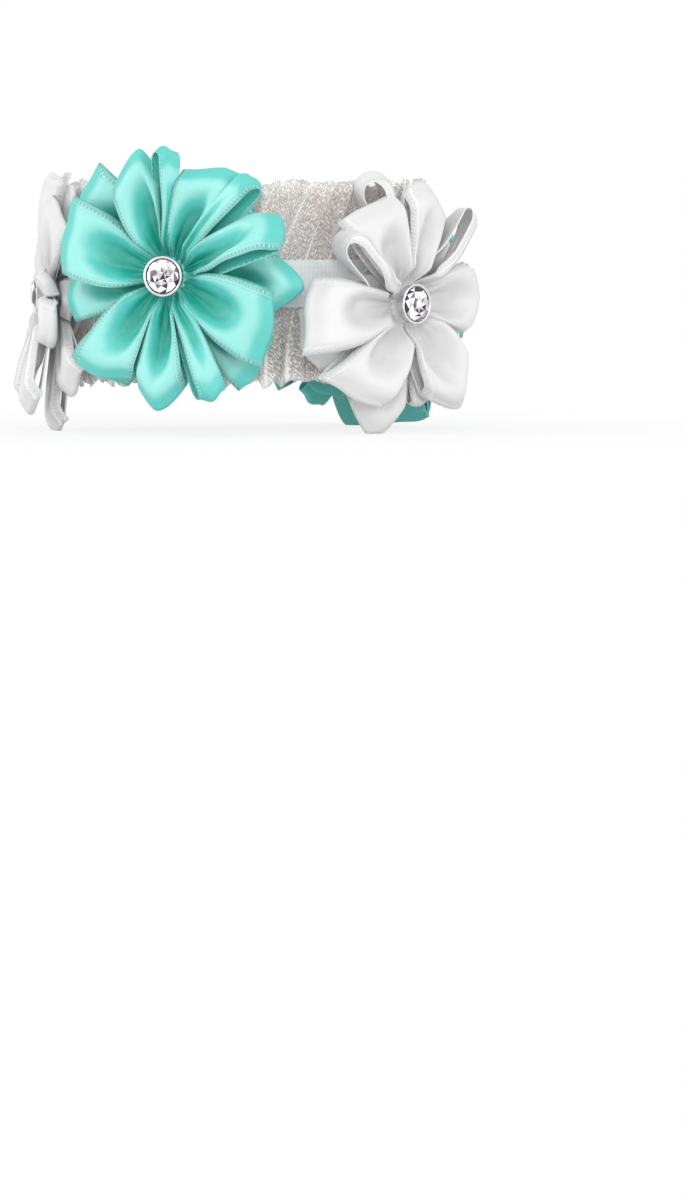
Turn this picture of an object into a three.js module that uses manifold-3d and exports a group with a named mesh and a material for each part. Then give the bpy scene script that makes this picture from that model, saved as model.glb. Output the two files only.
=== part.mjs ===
import * as THREE from 'three';
import { mergeVertices } from 'three/addons/utils/BufferGeometryUtils.js';
import Module from 'manifold-3d';

// Wrist corsage: a gathered organza band on a strip of elastic, with four ribbon flowers on it.
// Millimetres. +Z runs along the wrist, the flower worn at the front faces -Y, and the origin lies
// under the middle of the whole corsage, on the surface that it stands on.

// Clearances
const clearance = 0.3;
const threadClearance = 0.15;
const overrun = 5;

// Wrist opening, an ellipse seen from above
const openingWidth = 53.5;
const openingDepth = 39;
const bandMiddleHeight = 23.4;

// Organza ruffle
const organzaHeight = 30;
const organzaThickness = 0.3;
const pleatDepth = 1.1;
const frillHeight = 0.7;
const pleatCount = 30;
const pleatSteps = 4;

// Elastic strip with its lapped and sewn ends
const elasticHeight = 7.6;
const elasticThickness = 0.7;
const elasticSteps = 64;
const lapLength = 9;
const lapRiseLength = 7;
const seamTurn = -150;

// Zigzag of thread that closes the lap
const seamThreadRadius = 0.22;
const seamZigzags = 4;
const seamThreadSides = 5;
const seamThreadSteps = 36;
const seamSpreadShare = 0.8;

// Felt pad under each flower
const padRadius = 7.5;
const padThickness = 0.6;
const padSectors = 16;
const padRings = 2;

// Gathered ribbon: its hub, the stub above it and the loops
const ribbonThickness = 0.4;
const petalLength = 20;
const petalWidth = 11.4;
const petalRoot = 2.2;
const hubRadius = 3.1;
const lowerHubHeight = 0.9;
const upperHubHeight = 0.8;
const stubRadius = 1.6;
const stubHeight = 0.7;
const lowerLoopHeight = 2.3;
const upperLoopHeight = 2.7;
const ringRise = 1.6;
const tipPoint = 4.6;
const tipSkew = 1.8;
const tipFall = 1.2;
const shingleHeight = 0.8;
const liftHeight = 4;
const finestEdge = 0.08;
const cornerStep = 0.02;
const touchGap = 0.06;

// Shares of a loop's ribbon: where its cup ends and where its rim falls towards the tip, how its
// sides rise, where it has opened out, and how deep the cup is in thicknesses of ribbon. A spread
// under narrowShare keeps its tip open. Tip and corner are powers: more is more pointed.
const cupStartShare = 0.45;
const rimShare = 0.8;
const cupEndShare = 0.9;
const cupFloorShare = 1.5;
const sideShare = 0.85;
const narrowShare = 0.6;
const wideShare = 0.8;
const openedShare = 0.6;
const squareTipShare = 0.16;
const sectorShare = 0.94;
const tipPower = 1.5;
const cornerPower = 4;
const widestSector = 34;

// Gathering thread round the stub
const gatherThreadRadius = 0.22;
const gatherThreadSides = 4;
const gatherThreadSteps = 14;

// Stone and its setting
const stoneRadius = 2.6;
const stoneCrown = 0.6;
const stoneGirdle = 0.15;
const stonePavilion = 0.9;
const tableShare = 0.58;
const settingWall = 0.25;
const settingFloor = 0.3;
const settingLip = 0.15;
const stoneSides = 16;

// Loops of each flower. Turn is in degrees, anticlockwise from the right as the flower is looked at.
// Reach is a share of petalLength, point of tipPoint, spread of petalWidth, roll in degrees about
// the loop's own length, lift a share of liftHeight, and skew a share of tipSkew, by which one corner
// of the tip is further out than the other.
const tealUpperShares = [
  { turn: 101, reach: 0.98, point: 1, spread: 0.95, roll: 4, lift: 0.1, skew: 0 },
  { turn: 62, reach: 0.93, point: 0.15, spread: 1, roll: 0, lift: 0.1, skew: -1 },
  { turn: 22, reach: 1.08, point: 0.4, spread: 0.75, roll: -46, lift: 0.1, skew: 0 },
  { turn: -27, reach: 0.95, point: 0.15, spread: 1.05, roll: 0, lift: 0.2, skew: -1 },
  { turn: 267, reach: 1.03, point: 0.9, spread: 0.95, roll: 4, lift: 0.15, skew: 0 },
  { turn: 237, reach: 0.93, point: 0.15, spread: 1, roll: 3, lift: 0, skew: -1 },
  { turn: 158, reach: 0.9, point: 0.15, spread: 1.05, roll: 4, lift: 0.15, skew: -0.9 },
];
const tealUpperCurlShares = [
  { turn: 88, reach: 0.99, point: 0.1, spread: 0.45, roll: 46, lift: 0, skew: 0 },
  { turn: 45, reach: 1.07, point: 0.1, spread: 0.42, roll: -42, lift: 0.1, skew: 0 },
  { turn: -66, reach: 1.03, point: 0.1, spread: 0.45, roll: -40, lift: 0, skew: 0 },
];
const tealLowerShares = [
  { turn: 140, reach: 0.98, point: 0.15, spread: 1, roll: 0, lift: 0, skew: -1 },
  { turn: 187, reach: 0.88, point: 0.4, spread: 0.95, roll: 0, lift: 0, skew: 0.8 },
  { turn: 230, reach: 1, point: 0.15, spread: 0.95, roll: 0, lift: 0, skew: -0.8 },
  { turn: -5, reach: 1.03, point: 1, spread: 0.85, roll: 0, lift: 0, skew: 0 },
  { turn: -47, reach: 1, point: 0.2, spread: 0.95, roll: 0, lift: 0, skew: -0.6 },
  { turn: 55, reach: 0.86, point: 0.3, spread: 0.9, roll: 0, lift: 0, skew: 0 },
  { turn: 285, reach: 0.82, point: 0.4, spread: 0.9, roll: 0, lift: 0, skew: 0 },
];

const whiteUpperShares = [
  { turn: 116, reach: 0.88, point: 0.15, spread: 0.95, roll: 3, lift: 0.1, skew: 0.5 },
  { turn: 82, reach: 0.96, point: 0.2, spread: 0.95, roll: 6, lift: 0.1, skew: 1 },
  { turn: 3, reach: 0.98, point: 0.45, spread: 1, roll: 0, lift: 0, skew: 0 },
  { turn: -50, reach: 0.98, point: 0.5, spread: 1.05, roll: 4, lift: 0.3, skew: 0 },
  { turn: 232, reach: 0.95, point: 0.3, spread: 1, roll: 2, lift: 0, skew: 0.5 },
  { turn: 186, reach: 0.97, point: 0.15, spread: 1.1, roll: 4, lift: 0.15, skew: 1 },
];
const whiteUpperCurlShares = [
  { turn: 42, reach: 0.88, point: 0.1, spread: 0.55, roll: 42, lift: 0.1, skew: 0 },
  { turn: 146, reach: 0.98, point: 0.1, spread: 0.45, roll: 38, lift: 0, skew: 0 },
];
const whiteLowerShares = [
  { turn: 258, reach: 1.08, point: 0.9, spread: 1, roll: 0, lift: 0, skew: 0 },
  { turn: 290, reach: 0.85, point: 0.3, spread: 0.6, roll: 0, lift: 0, skew: 0 },
  { turn: 112, reach: 1.02, point: 0.2, spread: 0.7, roll: 0, lift: 0, skew: 0 },
  { turn: 66, reach: 0.98, point: 0.3, spread: 0.9, roll: 0, lift: 0, skew: 0 },
  { turn: 24, reach: 0.9, point: 0.4, spread: 0.9, roll: 0, lift: 0, skew: 0 },
  { turn: -22, reach: 0.96, point: 0.4, spread: 0.9, roll: 0, lift: 0, skew: 0 },
  { turn: 200, reach: 0.9, point: 0.4, spread: 0.9, roll: 0, lift: 0, skew: 0 },
];

// The left flower is pushed back by its teal neighbour, so its loops on that side are short and
// stand up.
const crowdedUpperShares = [
  { turn: 96, reach: 0.95, point: 0.3, spread: 1, roll: 5, lift: 0, skew: 0 },
  { turn: 52, reach: 0.86, point: 0.2, spread: 0.9, roll: 6, lift: 0.1, skew: 0 },
  { turn: -34, reach: 0.66, point: 0.8, spread: 0.95, roll: 0, lift: 0.3, skew: 0 },
  { turn: -84, reach: 0.95, point: 0.5, spread: 1, roll: 0, lift: 0.6, skew: 0 },
  { turn: 232, reach: 0.95, point: 0.3, spread: 1, roll: 4, lift: 0.5, skew: 0 },
  { turn: 186, reach: 1, point: 0.5, spread: 1, roll: 3, lift: 0, skew: 0 },
  { turn: 141, reach: 0.96, point: 0.3, spread: 1, roll: 3, lift: 0, skew: 0 },
];
const crowdedUpperCurlShares = [
  { turn: 10, reach: 0.5, point: 0.1, spread: 0.5, roll: 20, lift: 0.1, skew: 0 },
  { turn: 72, reach: 0.95, point: 0.1, spread: 0.42, roll: 20, lift: 0, skew: 0 },
];
const crowdedLowerShares = [
  { turn: 112, reach: 0.98, point: 0.3, spread: 0.95, roll: 0, lift: 0, skew: 0 },
  { turn: 70, reach: 0.9, point: 0.5, spread: 0.8, roll: 0, lift: 0, skew: 0 },
  { turn: -58, reach: 0.9, point: 0.3, spread: 0.8, roll: 0, lift: 0, skew: 0 },
  { turn: 262, reach: 1.14, point: 0.7, spread: 1, roll: 0, lift: 0.2, skew: 0 },
  { turn: 210, reach: 1, point: 0.3, spread: 0.95, roll: 0, lift: 0, skew: 0 },
  { turn: 163, reach: 1, point: 0.3, spread: 0.95, roll: 0, lift: 0, skew: 0 },
  { turn: -10, reach: 0.5, point: 0.3, spread: 0.7, roll: 0, lift: 0, skew: 0 },
];

const tealTables = { upper: tealUpperShares, curls: tealUpperCurlShares, lower: tealLowerShares };
const whiteTables = { upper: whiteUpperShares, curls: whiteUpperCurlShares, lower: whiteLowerShares };
const crowdedTables = {
  upper: crowdedUpperShares,
  curls: crowdedUpperCurlShares,
  lower: crowdedLowerShares,
};

// Where each flower sits: its turn round the wrist, its height from the band's middle, how far its
// loops are spun, and how far they droop towards the band at petalLength: sideways, above the flower's
// middle and below it. The top of the left flower is pressed flat, which leaves its loops thinner.
const freeShare = 0;
const pressedShare = 0.75;
const frontHeight = 1.2;
const rightHeight = -3.2;
const leftHeight = -1.6;
const backHeight = -4.2;
const frontDroop = 2.5;
const rightDroop = 6;
const leftDroop = 4;
const backDroop = 3.2;
const frontSag = 0.3;
const rightSag = 0.8;
const leftTopSag = 3;
const leftLowSag = 0.6;
const backSag = 0.5;
const flowers = [
  { name: 'front_teal', ribbon: 'teal', turn: -23.5, spin: 0, height: frontHeight,
    droop: frontDroop, topSag: frontSag, lowSag: frontSag,
    pressed: freeShare, tables: tealTables },
  { name: 'right_white', ribbon: 'white', turn: 54, spin: 0, height: rightHeight,
    droop: rightDroop, topSag: rightSag, lowSag: rightSag,
    pressed: freeShare, tables: whiteTables },
  { name: 'left_white', ribbon: 'white', turn: -84, spin: 0, height: leftHeight,
    droop: leftDroop, topSag: leftTopSag, lowSag: leftLowSag,
    pressed: pressedShare, tables: crowdedTables },
  { name: 'back_teal', ribbon: 'teal', turn: 139, spin: 18, height: backHeight,
    droop: backDroop, topSag: backSag, lowSag: backSag,
    pressed: freeShare, tables: tealTables },
];

// Levels outwards from the inside of the band
const organzaBase = 0;
const elasticBase = organzaBase + organzaThickness + clearance;
const elasticTop = elasticBase + elasticThickness;
const padBase = elasticTop + clearance;
const padTop = padBase + padThickness;
const lowerHubBase = padTop + clearance;
const lowerHubTop = lowerHubBase + lowerHubHeight;
const upperHubBase = lowerHubTop + clearance;
const upperHubTop = upperHubBase + upperHubHeight;
const stubTop = upperHubTop + stubHeight;
const settingBase = stubTop + clearance;
const stoneBase = settingBase + settingFloor + threadClearance;
const girdleLevel = stoneBase + stonePavilion;
const settingRadius = stoneRadius + threadClearance + settingWall;
const settingTop = girdleLevel + stoneGirdle;

const ellipseX = openingWidth / 2;
const ellipseY = openingDepth / 2;
const circle = 2 * Math.PI;

// Plated metal, stone and cloths
const materials = {
  organza: new THREE.MeshStandardMaterial({ color: '#f6f3f1', roughness: 0.6, metalness: 0 }),
  elastic: new THREE.MeshStandardMaterial({ color: '#f4f4f6', roughness: 0.8, metalness: 0 }),
  thread: new THREE.MeshStandardMaterial({ color: '#f2f2f2', roughness: 0.7, metalness: 0 }),
  felt: new THREE.MeshStandardMaterial({ color: '#f0efec', roughness: 0.95, metalness: 0 }),
  teal: new THREE.MeshStandardMaterial({ color: '#4fcfba', roughness: 0.35, metalness: 0 }),
  white: new THREE.MeshStandardMaterial({ color: '#f3f3f5', roughness: 0.35, metalness: 0 }),
  plated: new THREE.MeshStandardMaterial({ color: '#d9dadd', roughness: 0.2, metalness: 1 }),
  stone: new THREE.MeshStandardMaterial({ color: '#e9edf2', roughness: 0.05, metalness: 0 }),
};

const wasm = await Module();
wasm.setup();

const smooth = (low, high, value) => THREE.MathUtils.smoothstep(value, low, high);
const mix = (from, to, share) => from + (to - from) * share;
const radians = (degrees) => THREE.MathUtils.degToRad(degrees);

// A closed mesh that shares its vertices, each moved by place
function shape(geometry, place) {
  geometry.deleteAttribute('normal');
  geometry.deleteAttribute('uv');
  const merged = mergeVertices(geometry);
  const position = merged.getAttribute('position');
  const vertex = new THREE.Vector3();
  for (let i = 0; i < position.count; i += 1) {
    place(vertex.fromBufferAttribute(position, i));
    position.setXYZ(i, vertex.x, vertex.y, vertex.z);
  }
  return merged;
}

function toSolid(geometry) {
  const vertProperties = new Float32Array(geometry.getAttribute('position').array);
  const triVerts = new Uint32Array(geometry.index.array);
  return new wasm.Manifold(new wasm.Mesh({ numProp: 3, vertProperties, triVerts }));
}

function toGeometry(solid) {
  const { vertProperties, triVerts } = solid.getMesh();
  const geometry = new THREE.BufferGeometry();
  geometry.setAttribute('position', new THREE.BufferAttribute(vertProperties, 3));
  geometry.setIndex(new THREE.BufferAttribute(triVerts, 1));
  return geometry;
}

// Corners of two folds that have come to touch are drawn back into their own folds
function drawnApart(body) {
  const mesh = body.getMesh();
  const { vertProperties: places, triVerts: corners } = mesh;
  const point = (i) => new THREE.Vector3().fromArray(places, i * mesh.numProp);
  const inward = Array.from({ length: mesh.numVert }, () => new THREE.Vector3());
  for (let i = 0; i < corners.length; i += 3) {
    const [a, b, c] = [point(corners[i]), point(corners[i + 1]), point(corners[i + 2])];
    const slant = c.sub(a).cross(b.sub(a));
    for (const corner of corners.subarray(i, i + 3)) inward[corner].add(slant);
  }
  const met = new Map();
  const key = (i) => point(i).toArray().join();
  inward.forEach((_, i) => met.set(key(i), [...(met.get(key(i)) ?? []), i]));
  for (const i of [...met.values()].filter((group) => group.length > 1).flat()) {
    point(i).addScaledVector(inward[i].normalize(), touchGap).toArray(places, i * mesh.numProp);
  }
  return new wasm.Manifold(mesh);
}

// Pieces joined in one body. A pocket that folds close off between them is filled, and corners
// that nearly meet are moved to one point, so that no sliver is left between them.
function joined(geometries) {
  const united = geometries.map(toSolid).reduce((body, piece) => body.add(piece));
  const outer = united.decompose().filter((shell) => shell.volume() > 0);
  const whole = outer.reduce((body, shell) => body.add(shell)).simplify(finestEdge);
  const snapped = whole.warp((corner) => {
    for (let i = 0; i < corner.length; i += 1) {
      corner[i] = Math.round(corner[i] / cornerStep) * cornerStep;
    }
  });
  return drawnApart(snapped.simplify(cornerStep));
}

// The band's line round the wrist: a point at a turn and a level out from the opening's wall
function bandNormal(turn) {
  const normal = new THREE.Vector3(ellipseY * Math.sin(turn), -ellipseX * Math.cos(turn), 0);
  return normal.normalize();
}

function bandPoint(turn, level, height) {
  const point = new THREE.Vector3(ellipseX * Math.sin(turn), -ellipseY * Math.cos(turn), height);
  return point.addScaledVector(bandNormal(turn), level);
}

// The turn reached by going a distance along the band, in small steps
function turnAlong(start, distance) {
  const steps = 24;
  let turn = start;
  for (let i = 0; i < steps; i += 1) {
    const speed = Math.hypot(ellipseX * Math.cos(turn), ellipseY * Math.sin(turn));
    turn += distance / steps / speed;
  }
  return turn;
}

// Organza: a ring whose pleats open towards both frilled edges
function organzaRuffle() {
  const ringShare = 2;
  const flatShare = elasticHeight / organzaHeight;
  const rowShares = [-1, -flatShare, flatShare, 1];
  const outside = rowShares.map((row) => new THREE.Vector2(ringShare + 0.5, row));
  const inside = rowShares.map((row) => new THREE.Vector2(ringShare - 0.5, -row));
  const profile = [...outside, ...inside, outside[0]];
  const ring = new THREE.LatheGeometry(profile, pleatCount * pleatSteps);
  return shape(ring, (vertex) => {
    const side = Math.hypot(vertex.x, vertex.z) - ringShare;
    const turn = Math.atan2(vertex.x, vertex.z);
    const row = vertex.y;
    const open = Math.max(0, Math.abs(row) - flatShare) / (1 - flatShare);
    const wave = Math.sin(pleatCount * turn + row);
    const level = organzaBase + organzaThickness * (side + 0.5) + pleatDepth * open * (wave + 1) / 2;
    const frill = frillHeight * Math.cos(pleatCount * turn) * Math.sign(row) * open ** 3;
    const height = bandMiddleHeight + row * organzaHeight / 2 + frill;
    vertex.copy(bandPoint(turn, level, height));
  });
}

// Elastic: a strip bent round the wrist, its outer end lying over its inner end
function elasticBand() {
  const start = radians(seamTurn);
  const lapEnd = turnAlong(start, lapLength) + circle;
  const riseStart = turnAlong(start, -lapRiseLength) + circle;
  const riseEnd = start + circle;
  const strip = new THREE.BoxGeometry(1, 1, 1, elasticSteps, 1, 1);
  return shape(strip, (vertex) => {
    const turn = mix(start, lapEnd, vertex.x + 0.5);
    const lapRise = (elasticThickness + clearance) * smooth(riseStart, riseEnd, turn);
    const level = elasticBase + lapRise + elasticThickness * (vertex.z + 0.5);
    vertex.copy(bandPoint(turn, level, bandMiddleHeight + vertex.y * elasticHeight));
  });
}

// Thread that runs in a zigzag over the lap
function seamThread() {
  const level = elasticTop + elasticThickness + clearance + threadClearance + seamThreadRadius;
  const middle = turnAlong(radians(seamTurn), lapLength / 2) + circle;
  const rows = 2 * seamZigzags;
  const points = [];
  for (let i = 0; i <= rows; i += 1) {
    const along = (i / rows - 0.5) * lapLength * seamSpreadShare;
    const side = (i % 2 === 0 ? -0.5 : 0.5) * elasticHeight * seamSpreadShare;
    points.push(bandPoint(turnAlong(middle, along), level, bandMiddleHeight + side));
  }
  const route = new THREE.CatmullRomCurve3(points, false, 'centripetal');
  const section = new THREE.Shape();
  for (let i = 0; i < seamThreadSides; i += 1) {
    const turn = circle * i / seamThreadSides;
    const corner = [seamThreadRadius * Math.cos(turn), seamThreadRadius * Math.sin(turn)];
    if (i === 0) section.moveTo(...corner);
    else section.lineTo(...corner);
  }
  const options = { steps: seamThreadSteps, bevelEnabled: false, extrudePath: route };
  return shape(new THREE.ExtrudeGeometry(section, options), (vertex) => vertex);
}

// Felt pad: a disc that follows the band's curve
function feltPad(flower) {
  const middle = radians(flower.turn);
  const profile = [new THREE.Vector2(0, -0.5)];
  for (let i = 1; i <= padRings; i += 1) {
    profile.push(new THREE.Vector2(i / padRings, -0.5));
  }
  for (let i = padRings; i > 0; i -= 1) {
    profile.push(new THREE.Vector2(i / padRings, 0.5));
  }
  profile.push(new THREE.Vector2(0, 0.5));
  const disc = new THREE.LatheGeometry(profile, padSectors);
  return shape(disc, (vertex) => {
    const turn = turnAlong(middle, vertex.x * padRadius);
    const level = padBase + padThickness * (vertex.y + 0.5);
    const height = bandMiddleHeight + flower.height - vertex.z * padRadius;
    vertex.copy(bandPoint(turn, level, height));
  });
}

// The two levels between which a ring's loops lie, at a distance from the flower's middle.
// The rings rise outwards side by side, with a clearance between them.
function ringLevels(ring, full, reach) {
  const parting = lowerHubTop + clearance / 2 + ringRise * reach / petalLength;
  const inset = (clearance + ribbonThickness) / 2;
  if (ring === 'upper') {
    const under = parting + inset;
    return { under, crest: under + upperLoopHeight * full };
  }
  const crest = parting - inset;
  const open = smooth(padRadius, petalLength, reach);
  return { under: mix(lowerHubBase + inset, crest - lowerLoopHeight * full, open), crest };
}

// Each loop keeps to its own sector: two neighbours share the gap between them by their spreads
function withSectors(loops) {
  const start = loops[0].turn;
  const ahead = (from, to) => THREE.MathUtils.euclideanModulo(to - from, 360);
  const sorted = [...loops].sort((a, b) => ahead(start, a.turn) - ahead(start, b.turn));
  return sorted.map((loop, i) => {
    const next = sorted[(i + 1) % sorted.length];
    const last = sorted[(i + sorted.length - 1) % sorted.length];
    const left = ahead(loop.turn, next.turn) * loop.spread / (loop.spread + next.spread);
    const right = ahead(last.turn, loop.turn) * loop.spread / (loop.spread + last.spread);
    return { ...loop, left, right };
  });
}

// Half of a loop's width: the sector's at first, and the ribbon's further out
function halfWidthAt(loop, reach, side) {
  const angle = Math.min(side > 0 ? loop.left : loop.right, widestSector);
  const sector = reach * Math.tan(radians(angle)) * sectorShare;
  const ribbon = loop.spread * petalWidth / 2;
  return sector * ribbon / (sector ** cornerPower + ribbon ** cornerPower) ** (1 / cornerPower);
}

// A point of a loop: along runs out on top, rolls over at the tip and comes back underneath, and
// side runs from -1 to 1 across the ribbon. The result is distance out, sideways and level.
function loopPoint(ring, full, loop, steps, along, side) {
  const topShare = steps.top / steps.all;
  const rollShare = steps.roll / steps.all;
  const point = tipPoint * Math.max(loop.point, squareTipShare);
  const corner = point * Math.abs(side) ** tipPower - tipSkew * loop.skew * side;
  const tip = petalLength * loop.reach - corner;
  const out = ringLevels(ring, full, tip);
  const wide = smooth(narrowShare, wideShare, loop.spread);
  const fall = tipFall * full * wide;
  const rollRadius = (out.crest - fall - out.under) / 2;
  const rollStart = tip - rollRadius;
  const onTop = Math.min(1, along / topShare);
  const rolled = THREE.MathUtils.clamp((along - topShare) / rollShare, 0, 1);
  const back = Math.max(0, (along - topShare - rollShare) / (1 - topShare - rollShare));
  const reach = mix(mix(petalRoot, rollStart, onTop), petalRoot, back);
  const outward = smooth(0, openedShare, (reach - petalRoot) / (rollStart - petalRoot));
  const halfWidth = halfWidthAt(loop, reach, side);
  const sideways = halfWidth * side;
  const { under, crest } = ringLevels(ring, full, Math.hypot(reach, sideways));
  const hubTop = (ring === 'upper' ? upperHubTop : lowerHubTop) - ribbonThickness / 2;
  const cup = smooth(cupStartShare, cupEndShare, onTop);
  const wall = smooth(0, sideShare, Math.abs(side));
  const cupFloor = under + ribbonThickness * cupFloorShare;
  const fallen = Math.max(0, (onTop - rimShare) / (1 - rimShare)) ** 2;
  const openCrest = mix(crest - fall * fallen, cupFloor, wide * (1 - cup) * (1 - wall));
  const top = mix(hubTop, openCrest, smooth(settingRadius, settingRadius + hubRadius, reach));
  const bend = Math.PI * rolled;
  const middle = (under + crest) / 2;
  const rise = (back > 0 ? under : mix(top, under, (1 - Math.cos(bend)) / 2)) - middle;
  const roll = radians(loop.roll) * outward;
  const level = middle + rise * Math.cos(roll) + sideways * Math.sin(roll);
  const lowerSide = halfWidthAt(loop, reach, -Math.sign(roll)) * Math.abs(Math.sin(roll));
  const raised = lowerSide - (middle - under) * (1 - Math.cos(roll));
  const tilt = ring === 'upper' ? shingleHeight * outward * (side + 1) / 2 : 0;
  return new THREE.Vector3(
    reach + rollRadius * Math.sin(bend) * (back > 0 ? 0 : 1),
    sideways * Math.cos(roll) - rise * Math.sin(roll),
    level + raised + tilt + liftHeight * loop.lift * (reach / petalLength) ** 2,
  );
}

// A loop of ribbon: a flat strip bent along loopPoint and turned into its place in the flower
function petal(ring, loop, flower, steps) {
  const nudge = 0.001;
  const strip = new THREE.BoxGeometry(1, 1, 1, steps.all, steps.across, 1);
  const turn = radians(loop.turn + flower.spin);
  const full = 1 - flower.pressed * (1 + Math.sin(turn)) / 2;
  return shape(strip, (vertex) => {
    const along = vertex.x + 0.5;
    const side = vertex.y * 2;
    const sample = (a, s) => loopPoint(ring, full, loop, steps, a, s);
    const lengthwise = sample(along + nudge, side).sub(sample(along - nudge, side));
    const crosswise = sample(along, side + nudge).sub(sample(along, side - nudge));
    const normal = lengthwise.cross(crosswise).normalize();
    const place = sample(along, side).addScaledVector(normal, vertex.z * ribbonThickness);
    const across = place.x * Math.cos(turn) - place.y * Math.sin(turn);
    const up = place.x * Math.sin(turn) + place.y * Math.cos(turn);
    const sag = up > 0 ? flower.topSag : flower.lowSag;
    const droop = flower.droop * (across / petalLength) ** 2 + sag * (up / petalLength) ** 2;
    vertex.set(across, droop - place.z, up);
  });
}

const wideSteps = { top: 4, roll: 2, all: 8, across: 3 };
const curlSteps = { top: 4, roll: 2, all: 8, across: 2 };
const lowerSteps = { top: 3, roll: 2, all: 7, across: 2 };

// A round layer of the flower's middle, between two levels
function roundLayer(radius, base, top) {
  const cylinder = new THREE.CylinderGeometry(radius, radius, top - base, stoneSides);
  cylinder.translate(0, -(base + top) / 2, 0);
  return shape(cylinder, (vertex) => vertex);
}

// All that lies below the surface that the corsage stands on is pressed flat
function standingCut(solid, flower) {
  const size = 2 * (petalLength + overrun) + overrun;
  const box = new THREE.BoxGeometry(size, size, petalLength);
  const floor = -(bandMiddleHeight + flower.height);
  box.translate(0, 0, floor - petalLength / 2);
  return solid.subtract(toSolid(shape(box, (vertex) => vertex)));
}

function lowerPetals(flower) {
  const loops = withSectors(flower.tables.lower);
  const petals = loops.map((loop) => petal('lower', loop, flower, lowerSteps));
  petals.push(roundLayer(hubRadius, lowerHubBase, lowerHubTop));
  return toGeometry(standingCut(joined(petals), flower));
}

function upperPetals(flower) {
  const narrow = flower.tables.curls.map((loop) => ({ ...loop, steps: curlSteps }));
  const loops = withSectors([...flower.tables.upper, ...narrow]);
  const petals = loops.map((loop) => petal('upper', loop, flower, loop.steps ?? wideSteps));
  petals.push(roundLayer(hubRadius, upperHubBase, upperHubTop));
  petals.push(roundLayer(stubRadius, upperHubBase, stubTop));
  return toGeometry(standingCut(joined(petals), flower));
}

function gatheringThread() {
  const radius = stubRadius + threadClearance + gatherThreadRadius;
  const ring = new THREE.TorusGeometry(
    radius, gatherThreadRadius, gatherThreadSides, gatherThreadSteps);
  ring.rotateX(Math.PI / 2);
  ring.translate(0, -(upperHubTop + threadClearance + gatherThreadRadius), 0);
  return shape(ring, (vertex) => vertex);
}

// A solid turned about the flower's own axis from radius and level pairs
function lathed(outline) {
  const points = outline.map(([radius, level]) => new THREE.Vector2(radius, -level));
  return shape(new THREE.LatheGeometry(points, stoneSides), (vertex) => vertex);
}

// Setting: an open cup whose lip leans in over the girdle
function stoneSetting() {
  const inner = settingRadius - settingWall;
  return lathed([
    [0, settingBase + settingFloor],
    [inner, settingBase + settingFloor],
    [inner, settingTop],
    [settingRadius, settingTop + settingLip],
    [settingRadius + settingLip, settingTop],
    [settingRadius, settingBase + settingFloor],
    [settingRadius - settingFloor, settingBase],
    [0, settingBase],
  ]);
}

// Rhinestone: table, crown, girdle and pointed pavilion
function rhinestone() {
  return lathed([
    [0, girdleLevel + stoneGirdle + stoneCrown],
    [stoneRadius * tableShare, girdleLevel + stoneGirdle + stoneCrown],
    [stoneRadius, girdleLevel + stoneGirdle],
    [stoneRadius, girdleLevel],
    [0, stoneBase],
  ]);
}

function named(name, geometry, material) {
  geometry.computeVertexNormals();
  const mesh = new THREE.Mesh(geometry, material);
  mesh.name = name;
  return mesh;
}

function flowerGroup(flower) {
  const group = new THREE.Group();
  const ribbon = materials[flower.ribbon];
  const turn = radians(flower.turn);
  const outward = bandNormal(turn);
  group.position.copy(bandPoint(turn, 0, bandMiddleHeight + flower.height));
  group.rotation.z = Math.atan2(outward.x, -outward.y);
  group.add(
    named(`${flower.name}_lower_petals`, lowerPetals(flower), ribbon),
    named(`${flower.name}_upper_petals`, upperPetals(flower), ribbon),
    named(`${flower.name}_gathering_thread`, gatheringThread(), materials.thread),
    named(`${flower.name}_stone_setting`, stoneSetting(), materials.plated),
    named(`${flower.name}_rhinestone`, rhinestone(), materials.stone),
  );
  return group;
}

const corsage = new THREE.Group();
corsage.add(
  named('organza_ruffle', organzaRuffle(), materials.organza),
  named('elastic_band', elasticBand(), materials.elastic),
  named('seam_thread', seamThread(), materials.thread),
);
for (const flower of flowers) {
  corsage.add(
    named(`${flower.name}_felt_pad`, feltPad(flower), materials.felt),
    flowerGroup(flower),
  );
}

// The origin goes under the middle of the whole corsage
const middle = new THREE.Box3().setFromObject(corsage, true).getCenter(new THREE.Vector3());
middle.z = 0;
for (const child of corsage.children) child.position.sub(middle);

export default corsage;
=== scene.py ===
# Wrist corsage: a gathered organza band on a strip of elastic, set round with four flowers of folded
# satin ribbon. Metres. +Z points up through the band, and the front flower faces -Y.
import random
from collections import namedtuple
from math import atan2, copysign, cos, hypot, pi, radians, sin, tan

import bpy
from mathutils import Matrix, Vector


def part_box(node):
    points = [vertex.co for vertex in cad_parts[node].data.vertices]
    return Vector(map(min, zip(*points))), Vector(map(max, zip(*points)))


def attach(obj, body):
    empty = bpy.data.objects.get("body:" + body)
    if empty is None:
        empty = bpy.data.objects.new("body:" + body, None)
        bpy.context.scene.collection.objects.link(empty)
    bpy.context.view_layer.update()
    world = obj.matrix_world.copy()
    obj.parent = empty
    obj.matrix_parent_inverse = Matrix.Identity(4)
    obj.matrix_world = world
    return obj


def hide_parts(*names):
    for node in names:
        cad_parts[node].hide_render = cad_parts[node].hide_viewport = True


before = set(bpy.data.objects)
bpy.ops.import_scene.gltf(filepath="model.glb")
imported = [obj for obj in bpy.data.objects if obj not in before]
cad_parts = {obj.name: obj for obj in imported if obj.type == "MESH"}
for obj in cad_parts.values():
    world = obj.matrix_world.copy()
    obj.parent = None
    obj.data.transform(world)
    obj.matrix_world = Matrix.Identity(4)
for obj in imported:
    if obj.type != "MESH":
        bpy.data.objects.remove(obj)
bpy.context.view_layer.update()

MM = 0.001
CIRCLE = 2 * pi

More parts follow.
